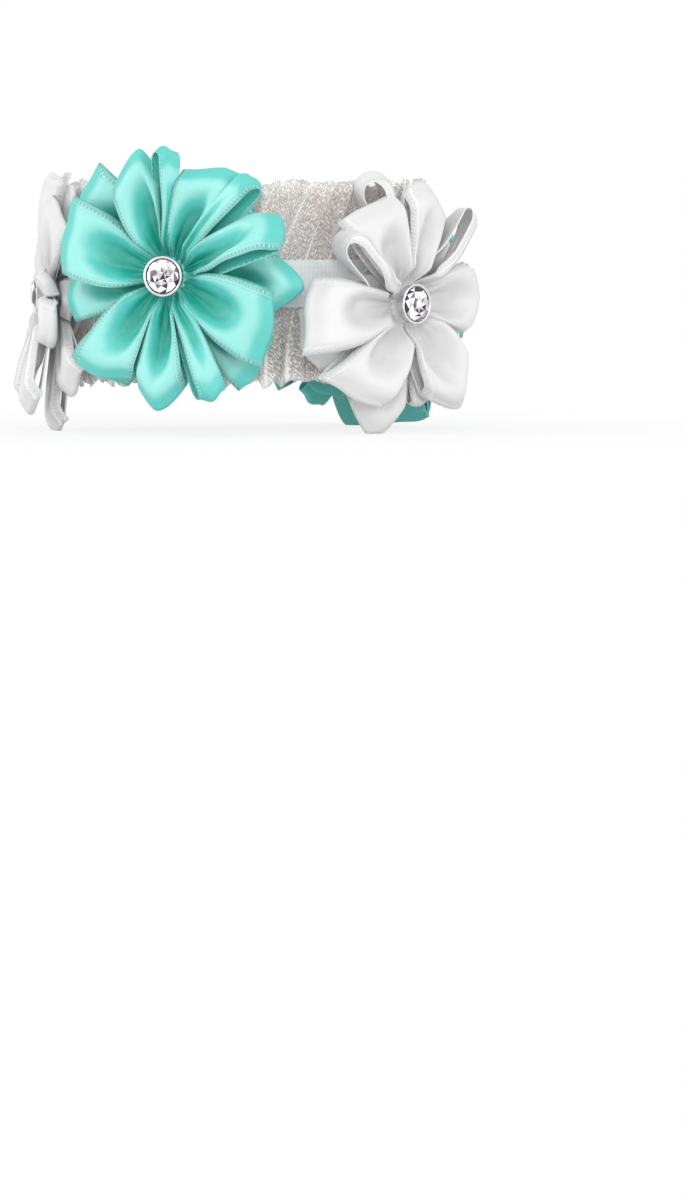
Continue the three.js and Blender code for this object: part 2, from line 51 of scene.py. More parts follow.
# A loop of ribbon, a flower, what sets one loop apart from the rest, a loop as it is laid in its ring,
# with its height and its half angles to both sides, and a lamp
Loop = namedtuple("Loop", "turn reach point spread roll lift skew swell twist bend",
                  defaults=(0, 0, 0, 1, 0, 0))
Flower = namedtuple("Flower", "name ribbon turn spin height droop top_sag low_sag pressed upper lower")
Quirk = namedtuple("Quirk", "lean phase curl")
Laid = namedtuple("Laid", "loop upper full left right quirk")
Lamp = namedtuple("Lamp", "name place size power")

# The band, as in the solids: an ellipse seen from above, and levels outwards from its inside
ELLIPSE_X = 26.75 * MM
ELLIPSE_Y = 19.5 * MM
ORGANZA_HEIGHT = 30 * MM
ORGANZA_BASE = 0.15 * MM
ORGANZA_THICKNESS = 0.12 * MM
ELASTIC_HEIGHT = 7.6 * MM
ELASTIC_THICKNESS = 0.7 * MM
ELASTIC_BASE = 0.6 * MM
CLEARANCE = 0.3 * MM
LAP_LENGTH = 9 * MM
LAP_RISE_LENGTH = 7 * MM
SEAM_TURN = -150  # in degrees, from the front
SEAM_RADIUS = 0.2 * MM
SEAM_STEPS = 8
SEAM_SHARE = 0.8  # of the lap's length and the elastic's height
PAD_RADIUS = 7.5 * MM
PAD_THICKNESS = 0.6 * MM
PAD_RAGGEDNESS = (0.006, 23)  # share of its radius, and count round it
CUT_EDGE = 0.1 * MM  # the rounding of a cut edge of felt
THREAD_RADIUS = 0.15 * MM

# Elastic: its cords and knit, and its scalloped edges
ELASTIC_BODY_SHARE = 0.8  # of its thickness, without the fuzz on its faces
ELASTIC_EDGE = 0.12 * MM
ELASTIC_INSET = 0.1 * MM
SCALLOP_DEPTH = 0.12 * MM
SCALLOP_COUNT = 150
SCALLOP_POWER = 6  # keeps the scallops to the very edge
CORD_PITCH = 0.95 * MM
KNIT_PITCH = 0.6 * MM
FUZZ_SIZE = 0.3 * MM
KNIT_RELIEF = 0.03 * MM

# Organza: its pleats, how far they fold over sideways, and the frill of its edges. A wave is its
# size, its count round the band and its phase in radians.
PLEAT_COUNT = 47
PLEAT_DEPTH = 0.95 * MM
PLEAT_FOLD = 0.85 * MM
PLEAT_SHIFTS = 1.5
SHIFT_WAVES = [(1, 3, 1), (0.7, 7, 0), (0.5, 11, 2)]
LEAN_WAVES = [(9, 2, -2.5), (2.5, 5, -3.8)]
LOWER_LEAN_SHARE = 0.35
GATHER_POWER = 0.6  # pleats deepen soon after the elastic
HEM_POWER = 4  # the frill keeps to the hem
HEM_LOSS_SHARE = 0.7  # share of the pleats' fold that is lost at the hem
FRILL_COUNT = 71
FRILL_WAVE = (2, 4, 0)
FRILL_DEPTH = 0.4 * MM
FRILL_HEIGHT = 0.7 * MM
RIPPLE_WAVE = (3, 6, 0)
RIPPLE_COUNT = 19
CREASE_WAVE = (0.3, 17)  # how much the creases of the pleats differ in strength
CREASE_STRENGTH = 0.7
CREASE_SHIFT = 0.4
CREASE_SHARES = (0.975, 0.993)
CREASE_TONE = 0.8
SLOPE_SHARES = (0.2, 1)
SLOPE_TONE = 0.2
ORGANZA_FULLNESS = 1.5
HEM_WIDTH = 2.1 * MM
HEM_FULL_SHARE = 0.3
GLINT_WIDTH = 0.17 * MM
GLINT_LENGTH = 0.6 * MM
GLINT_SLANTS = (-0.75, 0.55)  # in radians, from straight across the ribbon
GLINT_PATCH = 5 * MM
GLINT_RELIEF = 0.06 * MM

# Ribbon, and the sizes of its weave and creases
RIBBON_WIDTH = 11.4 * MM
RIBBON_THICKNESS = 0.2 * MM
SELVEDGE = 1.0 * MM
STITCH_PITCH = 0.72 * MM
STITCH_ROW = 0.42 * MM
STITCH_SHARES = (0.8, 0.3)  # of STITCH_ROW: between them its stitches fade in
FLOAT_LENGTH = 6 * MM
FLOAT_WIDTH = 0.2 * MM
GRAIN_SIZE = 0.25 * MM
CREASE_SIZE = 4 * MM
WEAVE_RELIEF = 0.05 * MM
CREASE_RELIEF = 0.6 * MM
STITCH_RELIEF = 0.14 * MM

# Grain and flaws of the other materials
FELT_FIBRE = 0.25 * MM
THREAD_FIBRE = 0.1 * MM
POLISH_MARK = 0.4 * MM
POLISH_RELIEF = 0.02 * MM
STONE_FLAW = 1.5 * MM

# Loops of ribbon, as in the solids
PETAL_LENGTH = 20 * MM
PETAL_ROOT = 2.2 * MM
HUB_RADIUS = 3.1 * MM
LOWER_HUB_HEIGHT = 0.9 * MM
UPPER_HUB_HEIGHT = 0.8 * MM
STUB_RADIUS = 1.6 * MM
STUB_HEIGHT = 0.7 * MM
LOWER_LOOP_HEIGHT = 2.3 * MM
UPPER_LOOP_HEIGHT = 2.7 * MM
SOLID_RIBBON = 0.4 * MM
RING_RISE = 1.6 * MM
TIP_POINT = 4.6 * MM
TIP_SKEW = 1.8 * MM
SHINGLE_HEIGHT = 0.8 * MM
LIFT_HEIGHT = 4 * MM

# How a loop is shaped. TOP_SHARE and ROLL_SHARE are shares of the whole ribbon in it. The other
# places along it are shares of its top, and places across it are shares of its half width.
TOP_SHARE = 0.52
ROLL_SHARE = 0.16
OPENED_SHARE = 0.6
CUP_SHARES = (0.5, 0.86)
CUP_ROUND = 0.3
CUP_SLANT = 0.1
CUP_LEAN_LIMIT = 0.25
CUP_FLOOR = 0.3 * MM
CUP_RIM = 0.35 * MM
WALL_SHARES = (0.25, 0.9)
TIP_FALL = 1.7 * MM
TIP_ROUND = 1.5  # 1 for a tip with straight sides, 2 for a round one
TIP_WAVE = 0.35 * MM
TIP_WAVE_COUNT = 3
RIM_SHARE = 0.82
LEAST_POINT_SHARE = 0.16  # of TIP_POINT, in any loop
WIDE_LOOP_SHARES = (0.6, 0.8)  # of the ribbon's width: cups fade in between them
SECTOR_SHARE = 0.98
OVERLAP_SHARE = 1.14
WIDEST_SECTOR = 34  # half its angle, in degrees
WIDTH_POWER = 4  # how sharply the sector's width gives way to the ribbon's
EDGE_CURL = 0.4 * MM
CLOSED_CURL = 1.5 * MM
UNDER_CURL = 0.9 * MM
EDGE_SHARE = 0.78
CURL_SHARES = (0.1, 0.35)
GATHER_DEPTH = 0.2 * MM
GATHER_COUNT = 5
GATHER_START_SHARE = 0.12
GATHER_SHARES = (0.1, 0.5)

# How deep the painted shade of a loop is, from 0 to 1: shade painted where it falls in its folds
CUP_PAINTED_SHADE = 0.8
MIDDLE_PAINTED_SHADE = 0.3
GATHER_PAINTED_SHADE = 0.25
TIP_PAINTED_SHADE = 0.45
TIP_PAINTED_SHADE_SHARE = 0.86
UNDERSIDE_PAINTED_SHADE = 0.45

# The gathered middle, and the thread round it
CORE_GATHER_SHARE = 0.06  # of its radius
THREAD_OFFSET = 0.4 * MM
THREAD_LEVEL = 0.35 * MM
THREAD_TWISTS = 8

# Stone and its setting
STONE_RADIUS = 2.6 * MM
STONE_CROWN = 0.6 * MM
STONE_GIRDLE = 0.15 * MM
STONE_PAVILION = 0.9 * MM
TABLE_SHARE = 0.56
SETTING_WALL = 0.25 * MM
SETTING_LIP = 0.15 * MM
STONE_SEAT = 0.15 * MM
SETTING_ROUND = 0.1 * MM
FLOOR_ROUND = 0.06 * MM
LIP_ROUND = 0.08 * MM
LIP_DROP = 0.3 * MM
LIP_SHARES = (0.3, 0.7, 0.6)  # of SETTING_LIP: the lip's foot, its shoulders and its side
FLOOR_SHARES = (0.2, 0.94)
TABLE_DISH = 0.04 * MM
CROWN_RADIUS_SHARE = 0.8
CULET_SHARE = 0.25
CROWN_SIDES = 8
GIRDLE_SIDES = 16
# How dark the painted reflections of a stone's facets are drawn
PAINTED_REFLECTION_DARKNESS = (0.5, 2)  # of a stone facing the front or the back, and one facing a side

# Camera, floor and lamps
CAMERA_DISTANCE = 1000 * MM
PHOTO_SCALE = 6.3 / MM  # photo pixels to a metre at the band's middle
PHOTO_WIDTH = 683
PHOTO_HEIGHT = 1200
BAND_PIXEL_X = 248
FLOOR_PIXEL_Y = 430
CAMERA_RISE = 12 * MM  # of the camera above the band's middle
FLOOR_SIZE = 20  # in metres
FLOOR_SHADE_START = 30 * MM  # the floor fades to white between these distances
FLOOR_SHADE_END = 130 * MM
FLOOR_WHITE_SHARE = 0.8  # how white the floor is shown under the corsage
SKY_STRENGTH = 0.86
LAMPS = [  # place and size in metres, power in watts
    Lamp("key", (0.05, -1.0, 0.4), 0.4, 2.2),
    Lamp("fill", (0.8, -0.7, 0.25), 0.6, 2.0),
    Lamp("side", (-0.9, -0.25, 0.3), 0.6, 2.2),
]

# Steps of the meshes
MERGE_DISTANCE = 0.001 * MM
LOOP_STEPS = 72
LOOP_CROSS_STEPS = 28
BAND_STEPS = 900
BAND_CROSS_STEPS = 46
ELASTIC_STEPS = 360
ELASTIC_CROSS_STEPS = 16
TURN_STEPS = 24
CORE_SIDES = 64
PAD_SIDES = 48
SETTING_SIDES = 64
WRAP_STEPS = 40

# Loops as they are laid: turn in degrees anticlockwise from the right as the flower is looked at,
# reach as a share of PETAL_LENGTH, point of TIP_POINT, spread of RIBBON_WIDTH, roll in degrees about
# the loop's own length, lift as a share of LIFT_HEIGHT, skew of the tip as a share of TIP_SKEW, swell
# of the loop's height, twist as the share of its length where the roll starts, and bend sideways in
# degrees at PETAL_LENGTH.
TEAL_UPPER = [
    Loop(101, 0.98, 1, 0.95, 4, 0.1),
    Loop(62, 0.93, 0.15, 1, 0, 0.1, -1),
    Loop(22, 1.08, 0.4, 0.75, -46, 0.1),
    Loop(-27, 0.95, 0.15, 1.05, 0, 0.2, -1),
    Loop(267, 1.03, 0.9, 0.95, 4, 0.15),
    Loop(237, 0.93, 0.15, 1, 3, 0, -1),
    Loop(158, 0.9, 0.15, 1.05, 4, 0.15, -0.9),
    Loop(88, 0.99, 0.1, 0.45, 46),
    Loop(45, 1.07, 0.1, 0.42, -42, 0.1),
    Loop(-66, 1.03, 0.1, 0.45, -40),
]
TEAL_LOWER = [
    Loop(140, 0.98, 0.15, 1, 0, 0, -1),
    Loop(187, 0.88, 0.4, 0.95, 0, 0, 0.8),
    Loop(230, 1, 0.15, 0.95, 0, 0, -0.8),
    Loop(-5, 1.03, 1, 0.85),
    Loop(-47, 1, 0.2, 0.95, 0, 0, -0.6),
    Loop(55, 0.86, 0.3, 0.9),
    Loop(285, 0.82, 0.4, 0.9),
]
WHITE_UPPER = [
    Loop(118, 0.9, 0.1, 1.2, 3, 0.1, 0.3),
    Loop(82, 0.94, 0.5, 1, 4, 0.1, 0.3),
    Loop(3, 1, 1, 1),
    Loop(-56, 0.97, 1.3, 1.1, 2, 0.3),
    Loop(230, 0.92, 0.15, 1, 2, 0, -0.8),
    Loop(184, 0.97, 0.15, 1.15, 4, 0.15, 1),
    Loop(50, 0.95, 0.1, 0.42, 64, 0, 0, 1.15),
    Loop(154, 0.9, 0.1, 0.4, 70, 0, 0, 1.45, 0.35, -14),
]
WHITE_LOWER = [
    Loop(256, 1.07, 1.2, 1),
    Loop(290, 0.85, 0.3, 0.6),
    Loop(108, 1.06, 0.1, 0.5, 66, 0.1, 0, 2, 0.6),
    Loop(66, 0.98, 0.3, 0.9),
    Loop(24, 0.9, 0.4, 0.9),
    Loop(-22, 0.96, 0.4, 0.9),
    Loop(200, 0.9, 0.4, 0.9),
]
CROWDED_UPPER = [
    Loop(96, 0.95, 0.3, 1, 5),
    Loop(52, 0.86, 0.2, 0.9, 6, 0.1),
    Loop(-34, 0.66, 0.8, 0.95, 0, 0.3),
    Loop(-84, 0.95, 0.5, 1, 0, 0.6),
    Loop(232, 0.95, 0.3, 1, 4, 0.5),
    Loop(186, 1, 0.5, 1, 3),
    Loop(141, 0.96, 0.3, 1, 3),
    Loop(10, 0.5, 0.1, 0.5, 20, 0.1),
    Loop(72, 0.95, 0.1, 0.42, 20),
]
CROWDED_LOWER = [
    Loop(112, 0.98, 0.3, 0.95),
    Loop(70, 0.9, 0.5, 0.8),
    Loop(-58, 0.9, 0.3, 0.8),
    Loop(262, 1.14, 0.7, 1, 0, 0.2),
    Loop(210, 1, 0.3, 0.95),
    Loop(163, 1, 0.3, 0.95),
    Loop(-10, 0.5, 0.3, 0.7),
]

# Flowers: turn round the band and spin in degrees, height above the band's middle, and how far the
# loops droop towards the band at PETAL_LENGTH, sideways and up or down
FLOWERS = [
    Flower("front_teal", "teal", -23.5, 0, 1.2 * MM, 2.5 * MM, 0.3 * MM, 0.3 * MM, 0,
           TEAL_UPPER, TEAL_LOWER),
    Flower("right_white", "white", 54, 0, -3.2 * MM, 6 * MM, 0.8 * MM, 0.8 * MM, 0,
           WHITE_UPPER, WHITE_LOWER),
    Flower("left_white", "white", -84, 0, -1.6 * MM, 4 * MM, 3 * MM, 0.6 * MM, 0.75,
           CROWDED_UPPER, CROWDED_LOWER),
    Flower("back_teal", "teal", 139, 18, -4.2 * MM, 3.2 * MM, 0.5 * MM, 0.5 * MM, 0,
           TEAL_UPPER, TEAL_LOWER),
]

# Levels of a flower's layers
ELASTIC_TOP = ELASTIC_BASE + ELASTIC_THICKNESS
PAD_BASE = ELASTIC_TOP + CLEARANCE
LOWER_HUB_BASE = PAD_BASE + PAD_THICKNESS + CLEARANCE
LOWER_HUB_TOP = LOWER_HUB_BASE + LOWER_HUB_HEIGHT
UPPER_HUB_BASE = LOWER_HUB_TOP + CLEARANCE
UPPER_HUB_TOP = UPPER_HUB_BASE + UPPER_HUB_HEIGHT
STUB_TOP = UPPER_HUB_TOP + STUB_HEIGHT
SETTING_BASE = STUB_TOP + CLEARANCE
STONE_BASE = SETTING_BASE + SETTING_WALL + STONE_SEAT
GIRDLE_LEVEL = STONE_BASE + STONE_PAVILION
SETTING_RADIUS = STONE_RADIUS + STONE_SEAT + SETTING_WALL
SETTING_TOP = GIRDLE_LEVEL + STONE_GIRDLE

# Hubs and stub: radius, base, top and number of gathers
CORES = {
    "lower": [(HUB_RADIUS, LOWER_HUB_BASE, LOWER_HUB_TOP, 16)],
    "upper": [(HUB_RADIUS, UPPER_HUB_BASE, UPPER_HUB_TOP, 18),
              (STUB_RADIUS, UPPER_HUB_TOP, STUB_TOP, 9)],
}

band_low, band_high = (Vector(corner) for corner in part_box("organza_ruffle"))
band_middle = (band_low + band_high) / 2


def smooth(low, high, value):
    share = min(1, max(0, (value - low) / (high - low)))
    return share * share * (3 - 2 * share)


def mix(start, end, share):
    return start + (end - start) * share


def wave(size, count, phase, turn):
    return size * sin(count * turn + phase)


def band_normal(turn):
    return Vector((ELLIPSE_Y * sin(turn), -ELLIPSE_X * cos(turn), 0)).normalized()


def band_point(turn, level, height):
    """A point round the band, out from the band's inside and up from its middle."""
    around = Vector((ELLIPSE_X * sin(turn), -ELLIPSE_Y * cos(turn), height))
    return band_middle + around + band_normal(turn) * level


def band_speed(turn):
    return hypot(ELLIPSE_X * cos(turn), ELLIPSE_Y * sin(turn))


def turn_along(start, distance):
    """The turn reached by going a distance along the band, in small steps."""
    turn = start
    for _ in range(TURN_STEPS):
        turn += distance / TURN_STEPS / band_speed(turn)
    return turn


BAND_LENGTH = sum(band_speed(CIRCLE * i / BAND_STEPS) * CIRCLE / BAND_STEPS for i in range(BAND_STEPS))


# Mesh tools

def select_only(*pieces):
    bpy.ops.object.select_all(action="DESELECT")
    for piece in pieces:
        piece.select_set(True)
    bpy.context.view_layer.objects.active = pieces[0]


def new_piece(name):
    """Names the primitive that was just added, and its mesh."""
    piece = bpy.context.object
    piece.name = name
    piece.data.name = name
    return piece


def new_object(name, data):
    made = bpy.data.objects.new(name, data)
    bpy.context.scene.collection.objects.link(made)
    return made


def joined(name, *pieces):
    select_only(*pieces)
    bpy.ops.object.join()
    return new_piece(name)


def move_vertices(piece, place):
    for vertex in piece.data.vertices:
        vertex.co = place(vertex.co)


def apply_modifier(piece, kind, **settings):
    select_only(piece)
    modifier = piece.modifiers.new(kind.title(), kind)
    for setting, value in settings.items():
        setattr(modifier, setting, value)
    bpy.ops.object.modifier_apply(modifier=modifier.name)


def edit_all(piece, *steps):
    """Runs edit mode operators on the whole of a piece."""
    select_only(piece)
    bpy.ops.object.mode_set(mode="EDIT")
    bpy.ops.mesh.select_all(action="SELECT")
    for operator, settings in steps:
        operator(**settings)
    bpy.ops.object.mode_set(mode="OBJECT")


def normals_out(piece):
    edit_all(piece, (bpy.ops.mesh.normals_make_consistent, {"inside": False}))


def shade_smooth(piece, angle=None):
    select_only(piece)
    if angle is None:
        bpy.ops.object.shade_smooth()
    else:
        bpy.ops.object.shade_smooth_by_angle(angle=radians(angle))


def cloth(name, along_steps, cross_steps, length, width, place, fold=None):
    """A flat grid of cloth bent into shape: place and fold take a share of the length and a side from
    -1 to 1. The UV map is in metres, along the cloth and across it from its middle. fold says how
    deep in a fold the cloth lies, and is kept as an attribute for its material: on the loops it is
    their painted shade, on the organza the doubled cloth along its pleats."""
    bpy.ops.mesh.primitive_grid_add(x_subdivisions=along_steps, y_subdivisions=cross_steps, size=1)
    piece = new_piece(name)
    uv = piece.data.uv_layers.active.data
    for corner in piece.data.loops:
        flat = piece.data.vertices[corner.vertex_index].co
        uv[corner.index].uv = ((flat.x + 0.5) * length, flat.y * width)
    if fold:
        depths = piece.data.attributes.new("fold", "FLOAT", "POINT")
        for vertex, depth in zip(piece.data.vertices, depths.data):
            depth.value = fold(vertex.co.x + 0.5, vertex.co.y * 2)
    move_vertices(piece, lambda flat: place(flat.x + 0.5, flat.y * 2))
    return piece


def finish_piece(piece, material, slot, *nodes):
    """Gives a piece its material, hides the solids that it stands for, and hangs it from the root body.
    """
    piece.data.materials.clear()
    piece.data.materials.append(material)
    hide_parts(*nodes)
    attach(piece, "root")


# Materials

def colour(hex_value):
    """An sRGB hex value as linear red, green, blue and alpha."""
    channels = [int(hex_value[i:i + 2], 16) / 255 for i in (1, 3, 5)]
    linear = [c / 12.92 if c <= 0.04045 else ((c + 0.055) / 1.055) ** 2.4 for c in channels]
    return (*linear, 1)


def node(tree, kind, inputs=None, **settings):
    """Adds a shader node with its settings. An input is a value, a socket that feeds it, or a node
    whose first output does."""
    made = tree.nodes.new("ShaderNode" + kind)
    for setting, value in settings.items():
        setattr(made, setting, value)
    for name, value in (inputs or {}).items():
        if isinstance(value, bpy.types.Node):
            value = value.outputs[0]
        if isinstance(value, bpy.types.NodeSocket):
            tree.links.new(value, made.inputs[name])
        else:
            made.inputs[name].default_value = value
    return made


def make_material(name, build, **looks):
    """A material with the shader that build adds to its tree."""
    material = bpy.data.materials.new(name)
    material.use_nodes = True
    tree = material.node_tree
    tree.nodes.clear()
    node(tree, "OutputMaterial", {"Surface": build(tree, **looks)})
    return material


def stitched_selvedges(tree, uv):
    """Along both edges of the ribbon: the selvedge, the row of stitches in it, and the stitches."""
    parts = node(tree, "SeparateXYZ", {"Vector": uv})
    from_middle = node(tree, "Math", {0: parts.outputs["Y"]}, operation="ABSOLUTE")
    half = RIBBON_WIDTH / 2
    selvedge = node(tree, "MapRange", {
        "Value": from_middle,
        "From Min": half - SELVEDGE - STITCH_ROW / 2, "From Max": half - SELVEDGE,
    }, interpolation_type="SMOOTHSTEP")
    row_distance = node(tree, "Math", {0: from_middle, 1: half - SELVEDGE / 2}, operation="SUBTRACT")
    row_off = node(tree, "Math", {0: row_distance}, operation="ABSOLUTE")
    row = node(tree, "MapRange", {
        "Value": row_off, "From Min": STITCH_ROW * STITCH_SHARES[0],
        "From Max": STITCH_ROW * STITCH_SHARES[1],
    }, interpolation_type="SMOOTHSTEP")
    # Real picks lie 0.1 mm apart. The stitches are drawn at STITCH_PITCH, so that they show.
    turns = node(tree, "Math", {0: parts.outputs["X"], 1: CIRCLE / STITCH_PITCH}, operation="MULTIPLY")
    swing = node(tree, "Math", {0: turns}, operation="SINE")
    stitch = node(tree, "MapRange", {
        "Value": swing, "From Min": -0.2, "From Max": 0.6}, interpolation_type="SMOOTHSTEP")
    dots = node(tree, "Math", {0: row, 1: stitch}, operation="MULTIPLY")
    return selvedge, row, dots


def satin_grain(tree, uv):
    """Floats of thread along the ribbon, the grain of the weave, and the creases left by folding."""
    # Real floats are finer: these are drawn coarser, so that they show
    floats = node(tree, "Mapping", {"Vector": uv, "Scale": (1 / FLOAT_LENGTH, 1 / FLOAT_WIDTH, 1)})
    streaks = node(tree, "TexNoise", {"Vector": floats, "Scale": 1.0, "Detail": 3.0, "Roughness": 0.6})
    grain = node(tree, "TexNoise", {"Vector": uv, "Scale": 1 / GRAIN_SIZE, "Detail": 2.0})
    creases = node(tree, "TexNoise", {
        "Vector": uv, "Scale": 1 / CREASE_SIZE, "Detail": 3.0, "Distortion": 0.4})
    return streaks, grain, creases


def satin_painted_light(tree, creases, rim, body, deep):
    """Painted light and shade over the ribbon's colour: a painted highlight on its rims, painted shade
    deeper in its folds, and some random unevenness along its creases.
    """
    # The fold attribute is the loop's painted shade
    fold = node(tree, "Attribute", attribute_name="fold", attribute_type="GEOMETRY")
    uneven = node(tree, "Math", {0: creases, 1: 0.3, 2: -0.15}, operation="MULTIPLY_ADD")
    shade_and_unevenness = node(tree, "Math", {
        0: fold.outputs["Fac"], 1: uneven}, operation="ADD", use_clamp=True)
    painted_light_ramp = node(tree, "ValToRGB", {"Fac": shade_and_unevenness})
    painted_light_ramp.color_ramp.interpolation = "EASE"
    painted_light_ramp.color_ramp.elements[0].color = colour(rim)
    painted_light_ramp.color_ramp.elements[1].color = colour(deep)
    painted_light_ramp.color_ramp.elements.new(0.4).color = colour(body)
    return painted_light_ramp


def satin_relief(tree, streaks, grain, creases, selvedge, dots):
    """Bumps of the weave, the creases and the stitched selvedges, each on the one before."""
    weave_height = node(tree, "Math", {0: streaks, 1: 0.5, 2: grain}, operation="MULTIPLY_ADD")
    weave = node(tree, "Bump", {"Height": weave_height, "Strength": 0.2, "Distance": WEAVE_RELIEF})
    bent = node(tree, "Bump", {
        "Height": creases, "Strength": 0.4, "Distance": CREASE_RELIEF, "Normal": weave})
    selvedge_height = node(tree, "Math", {0: dots, 1: 1.2, 2: selvedge}, operation="MULTIPLY_ADD")
    return node(tree, "Bump", {
        "Height": selvedge_height, "Strength": 0.8, "Distance": STITCH_RELIEF, "Normal": bent})


def satin_ribbon(tree, rim, body, deep, pale, trim, thinness):
    """Polyester satin ribbon: long floats of thread give it a soft streak of light, and a row of
    stitches runs along both selvedges. It is thin enough to let some light through."""
    uv = node(tree, "UVMap", uv_map="UVMap")
    selvedge, row, dots = stitched_selvedges(tree, uv)
    streaks, grain, creases = satin_grain(tree, uv)
    painted_light_ramp = satin_painted_light(tree, creases, rim, body, deep)
    # The stitches are paler thread. The selvedge is paler partly for its weave and partly as a painted
    # sheen along the edge.
    stitches_and_selvedge_sheen = node(tree, "Math", {
        0: selvedge, 1: trim, 2: dots}, operation="MULTIPLY_ADD", use_clamp=True)
    stitched = node(tree, "Mix", {"Factor": stitches_and_selvedge_sheen, "A": painted_light_ramp, "B": colour(pale)}, data_type="RGBA")
    # Between two stitches the selvedge dips: painted shade there, towards the deep colour, gives the
    # row its shade
    gaps = node(tree, "Math", {0: row, 1: dots}, operation="SUBTRACT")
    stitch_gap_painted_shade = node(tree, "Math", {0: gaps, 1: 0.45}, operation="MULTIPLY")
    stitch_gap_shaded = node(tree, "Mix", {
        "Factor": stitch_gap_painted_shade, "A": stitched.outputs["Result"], "B": colour(deep)}, data_type="RGBA")
    shine = node(tree, "MapRange", {
        "Value": streaks, "From Min": 0.3, "From Max": 0.7, "To Min": 0.38, "To Max": 0.5})
    tangent = node(tree, "Tangent", direction_type="UV_MAP", uv_map="UVMap")
    face = node(tree, "BsdfPrincipled", {
        "Base Color": stitch_gap_shaded.outputs["Result"], "Roughness": shine,
        "Normal": satin_relief(tree, streaks, grain, creases, selvedge, dots), "Tangent": tangent,
        "IOR": 1.5, "Specular IOR Level": 0.8, "Anisotropic": 0.6,
        "Sheen Weight": 0.2, "Sheen Roughness": 0.4, "Sheen Tint": colour(pale)})
    through = node(tree, "BsdfTranslucent", {"Color": stitched.outputs["Result"]})
    return node(tree, "MixShader", {0: thinness, 1: face, 2: through})


def organza_weave(tree, uv):
    """Threads of an open weave, pulled askew where it is gathered, with painted glints on them one by
    one.
    """
    # Real threads lie 0.15 mm apart: the glints are drawn about 0.45 mm apart, so that they show
    ways = [node(tree, "Mapping", {
        "Vector": uv, "Rotation": (0, 0, slant), "Scale": (GLINT_WIDTH, GLINT_LENGTH, 1),
    }, vector_type="TEXTURE") for slant in GLINT_SLANTS]
    glints = [node(tree, "TexNoise", {
        "Vector": way, "Scale": 1.0, "Detail": 1.0, "Roughness": 0.5}) for way in ways]
    patches = node(tree, "TexNoise", {"Vector": uv, "Scale": 1 / GLINT_PATCH, "Detail": 1.0})
    way_share = node(tree, "MapRange", {"Value": patches, "From Min": 0.44, "From Max": 0.56})
    return node(tree, "Mix", {"Factor": way_share, "A": glints[0], "B": glints[1]})


def sheer_organza(tree):
    """Sheer nylon organza: an open weave that light passes through, with painted glints on its threads,
    denser along the edges of the pleats and in the frilled hems."""
    uv = node(tree, "UVMap", uv_map="UVMap")
    parts = node(tree, "SeparateXYZ", {"Vector": uv})
    weave = organza_weave(tree, uv)
    cover = node(tree, "MapRange", {"Value": weave, "From Min": 0.5, "From Max": 0.58})
    fold = node(tree, "Attribute", attribute_name="fold", attribute_type="GEOMETRY")
    thinned = node(tree, "Math", {0: cover, 1: 0.7}, operation="MULTIPLY")
    doubled = node(tree, "Math", {0: fold.outputs["Fac"], 1: thinned}, operation="ADD")
    from_middle = node(tree, "Math", {0: parts.outputs["Y"]}, operation="ABSOLUTE")
    edge = ORGANZA_HEIGHT / 2
    hem = node(tree, "MapRange", {
        "Value": from_middle,
        "From Min": edge - HEM_WIDTH, "From Max": edge - HEM_WIDTH * HEM_FULL_SHARE,
        "To Min": 0.0, "To Max": 0.35}, interpolation_type="SMOOTHSTEP")
    white_share = node(tree, "Math", {0: doubled, 1: hem}, operation="ADD", use_clamp=True)
    alpha = node(tree, "MapRange", {"Value": white_share, "To Min": 0.42, "To Max": 0.95})
    base = node(tree, "Mix", {
        "Factor": white_share, "A": colour("#B8A9A4"), "B": colour("#FEFCFB"),
    }, data_type="RGBA")
    bump = node(tree, "Bump", {"Height": weave, "Strength": 0.5, "Distance": GLINT_RELIEF})
    return node(tree, "BsdfPrincipled", {
        "Base Color": base.outputs["Result"], "Roughness": 0.38, "Alpha": alpha,
        "Normal": bump, "Specular IOR Level": 0.8,
        "Sheen Weight": 0.3, "Sheen Roughness": 0.35})


def knitted_elastic(tree):
    """Knitted elastic: covered rubber cords along its length, held by a fine soft knit."""
    uv = node(tree, "UVMap", uv_map="UVMap")
    parts = node(tree, "SeparateXYZ", {"Vector": uv})
    cords = node(tree, "Math", {0: parts.outputs["Y"], 1: CIRCLE / CORD_PITCH}, operation="MULTIPLY")
    cord_wave = node(tree, "Math", {0: cords}, operation="SINE")
    stitches = node(tree, "Math", {
        0: parts.outputs["X"], 1: CIRCLE / KNIT_PITCH}, operation="MULTIPLY")
    stitch_wave = node(tree, "Math", {0: stitches}, operation="SINE")
    fuzz = node(tree, "TexNoise", {
        "Vector": uv, "Scale": 1 / FUZZ_SIZE, "Detail": 4.0, "Roughness": 0.7})
    knit = node(tree, "Math", {0: cord_wave, 1: 0.6, 2: stitch_wave}, operation="MULTIPLY_ADD")
    height = node(tree, "Math", {0: fuzz, 1: 16.0, 2: knit}, operation="MULTIPLY_ADD")
    tone = node(tree, "MapRange", {"Value": height, "From Min": 6.0, "From Max": 10.0})
    base = node(tree, "Mix", {
        "Factor": tone, "A": colour("#F1F1F4"), "B": colour("#FEFEFF")}, data_type="RGBA")
    bump = node(tree, "Bump", {"Height": height, "Strength": 0.3, "Distance": KNIT_RELIEF})
    return node(tree, "BsdfPrincipled", {
        "Base Color": base.outputs["Result"], "Roughness": 0.75, "Normal": bump,
        "Sheen Weight": 0.5, "Sheen Roughness": 0.5})


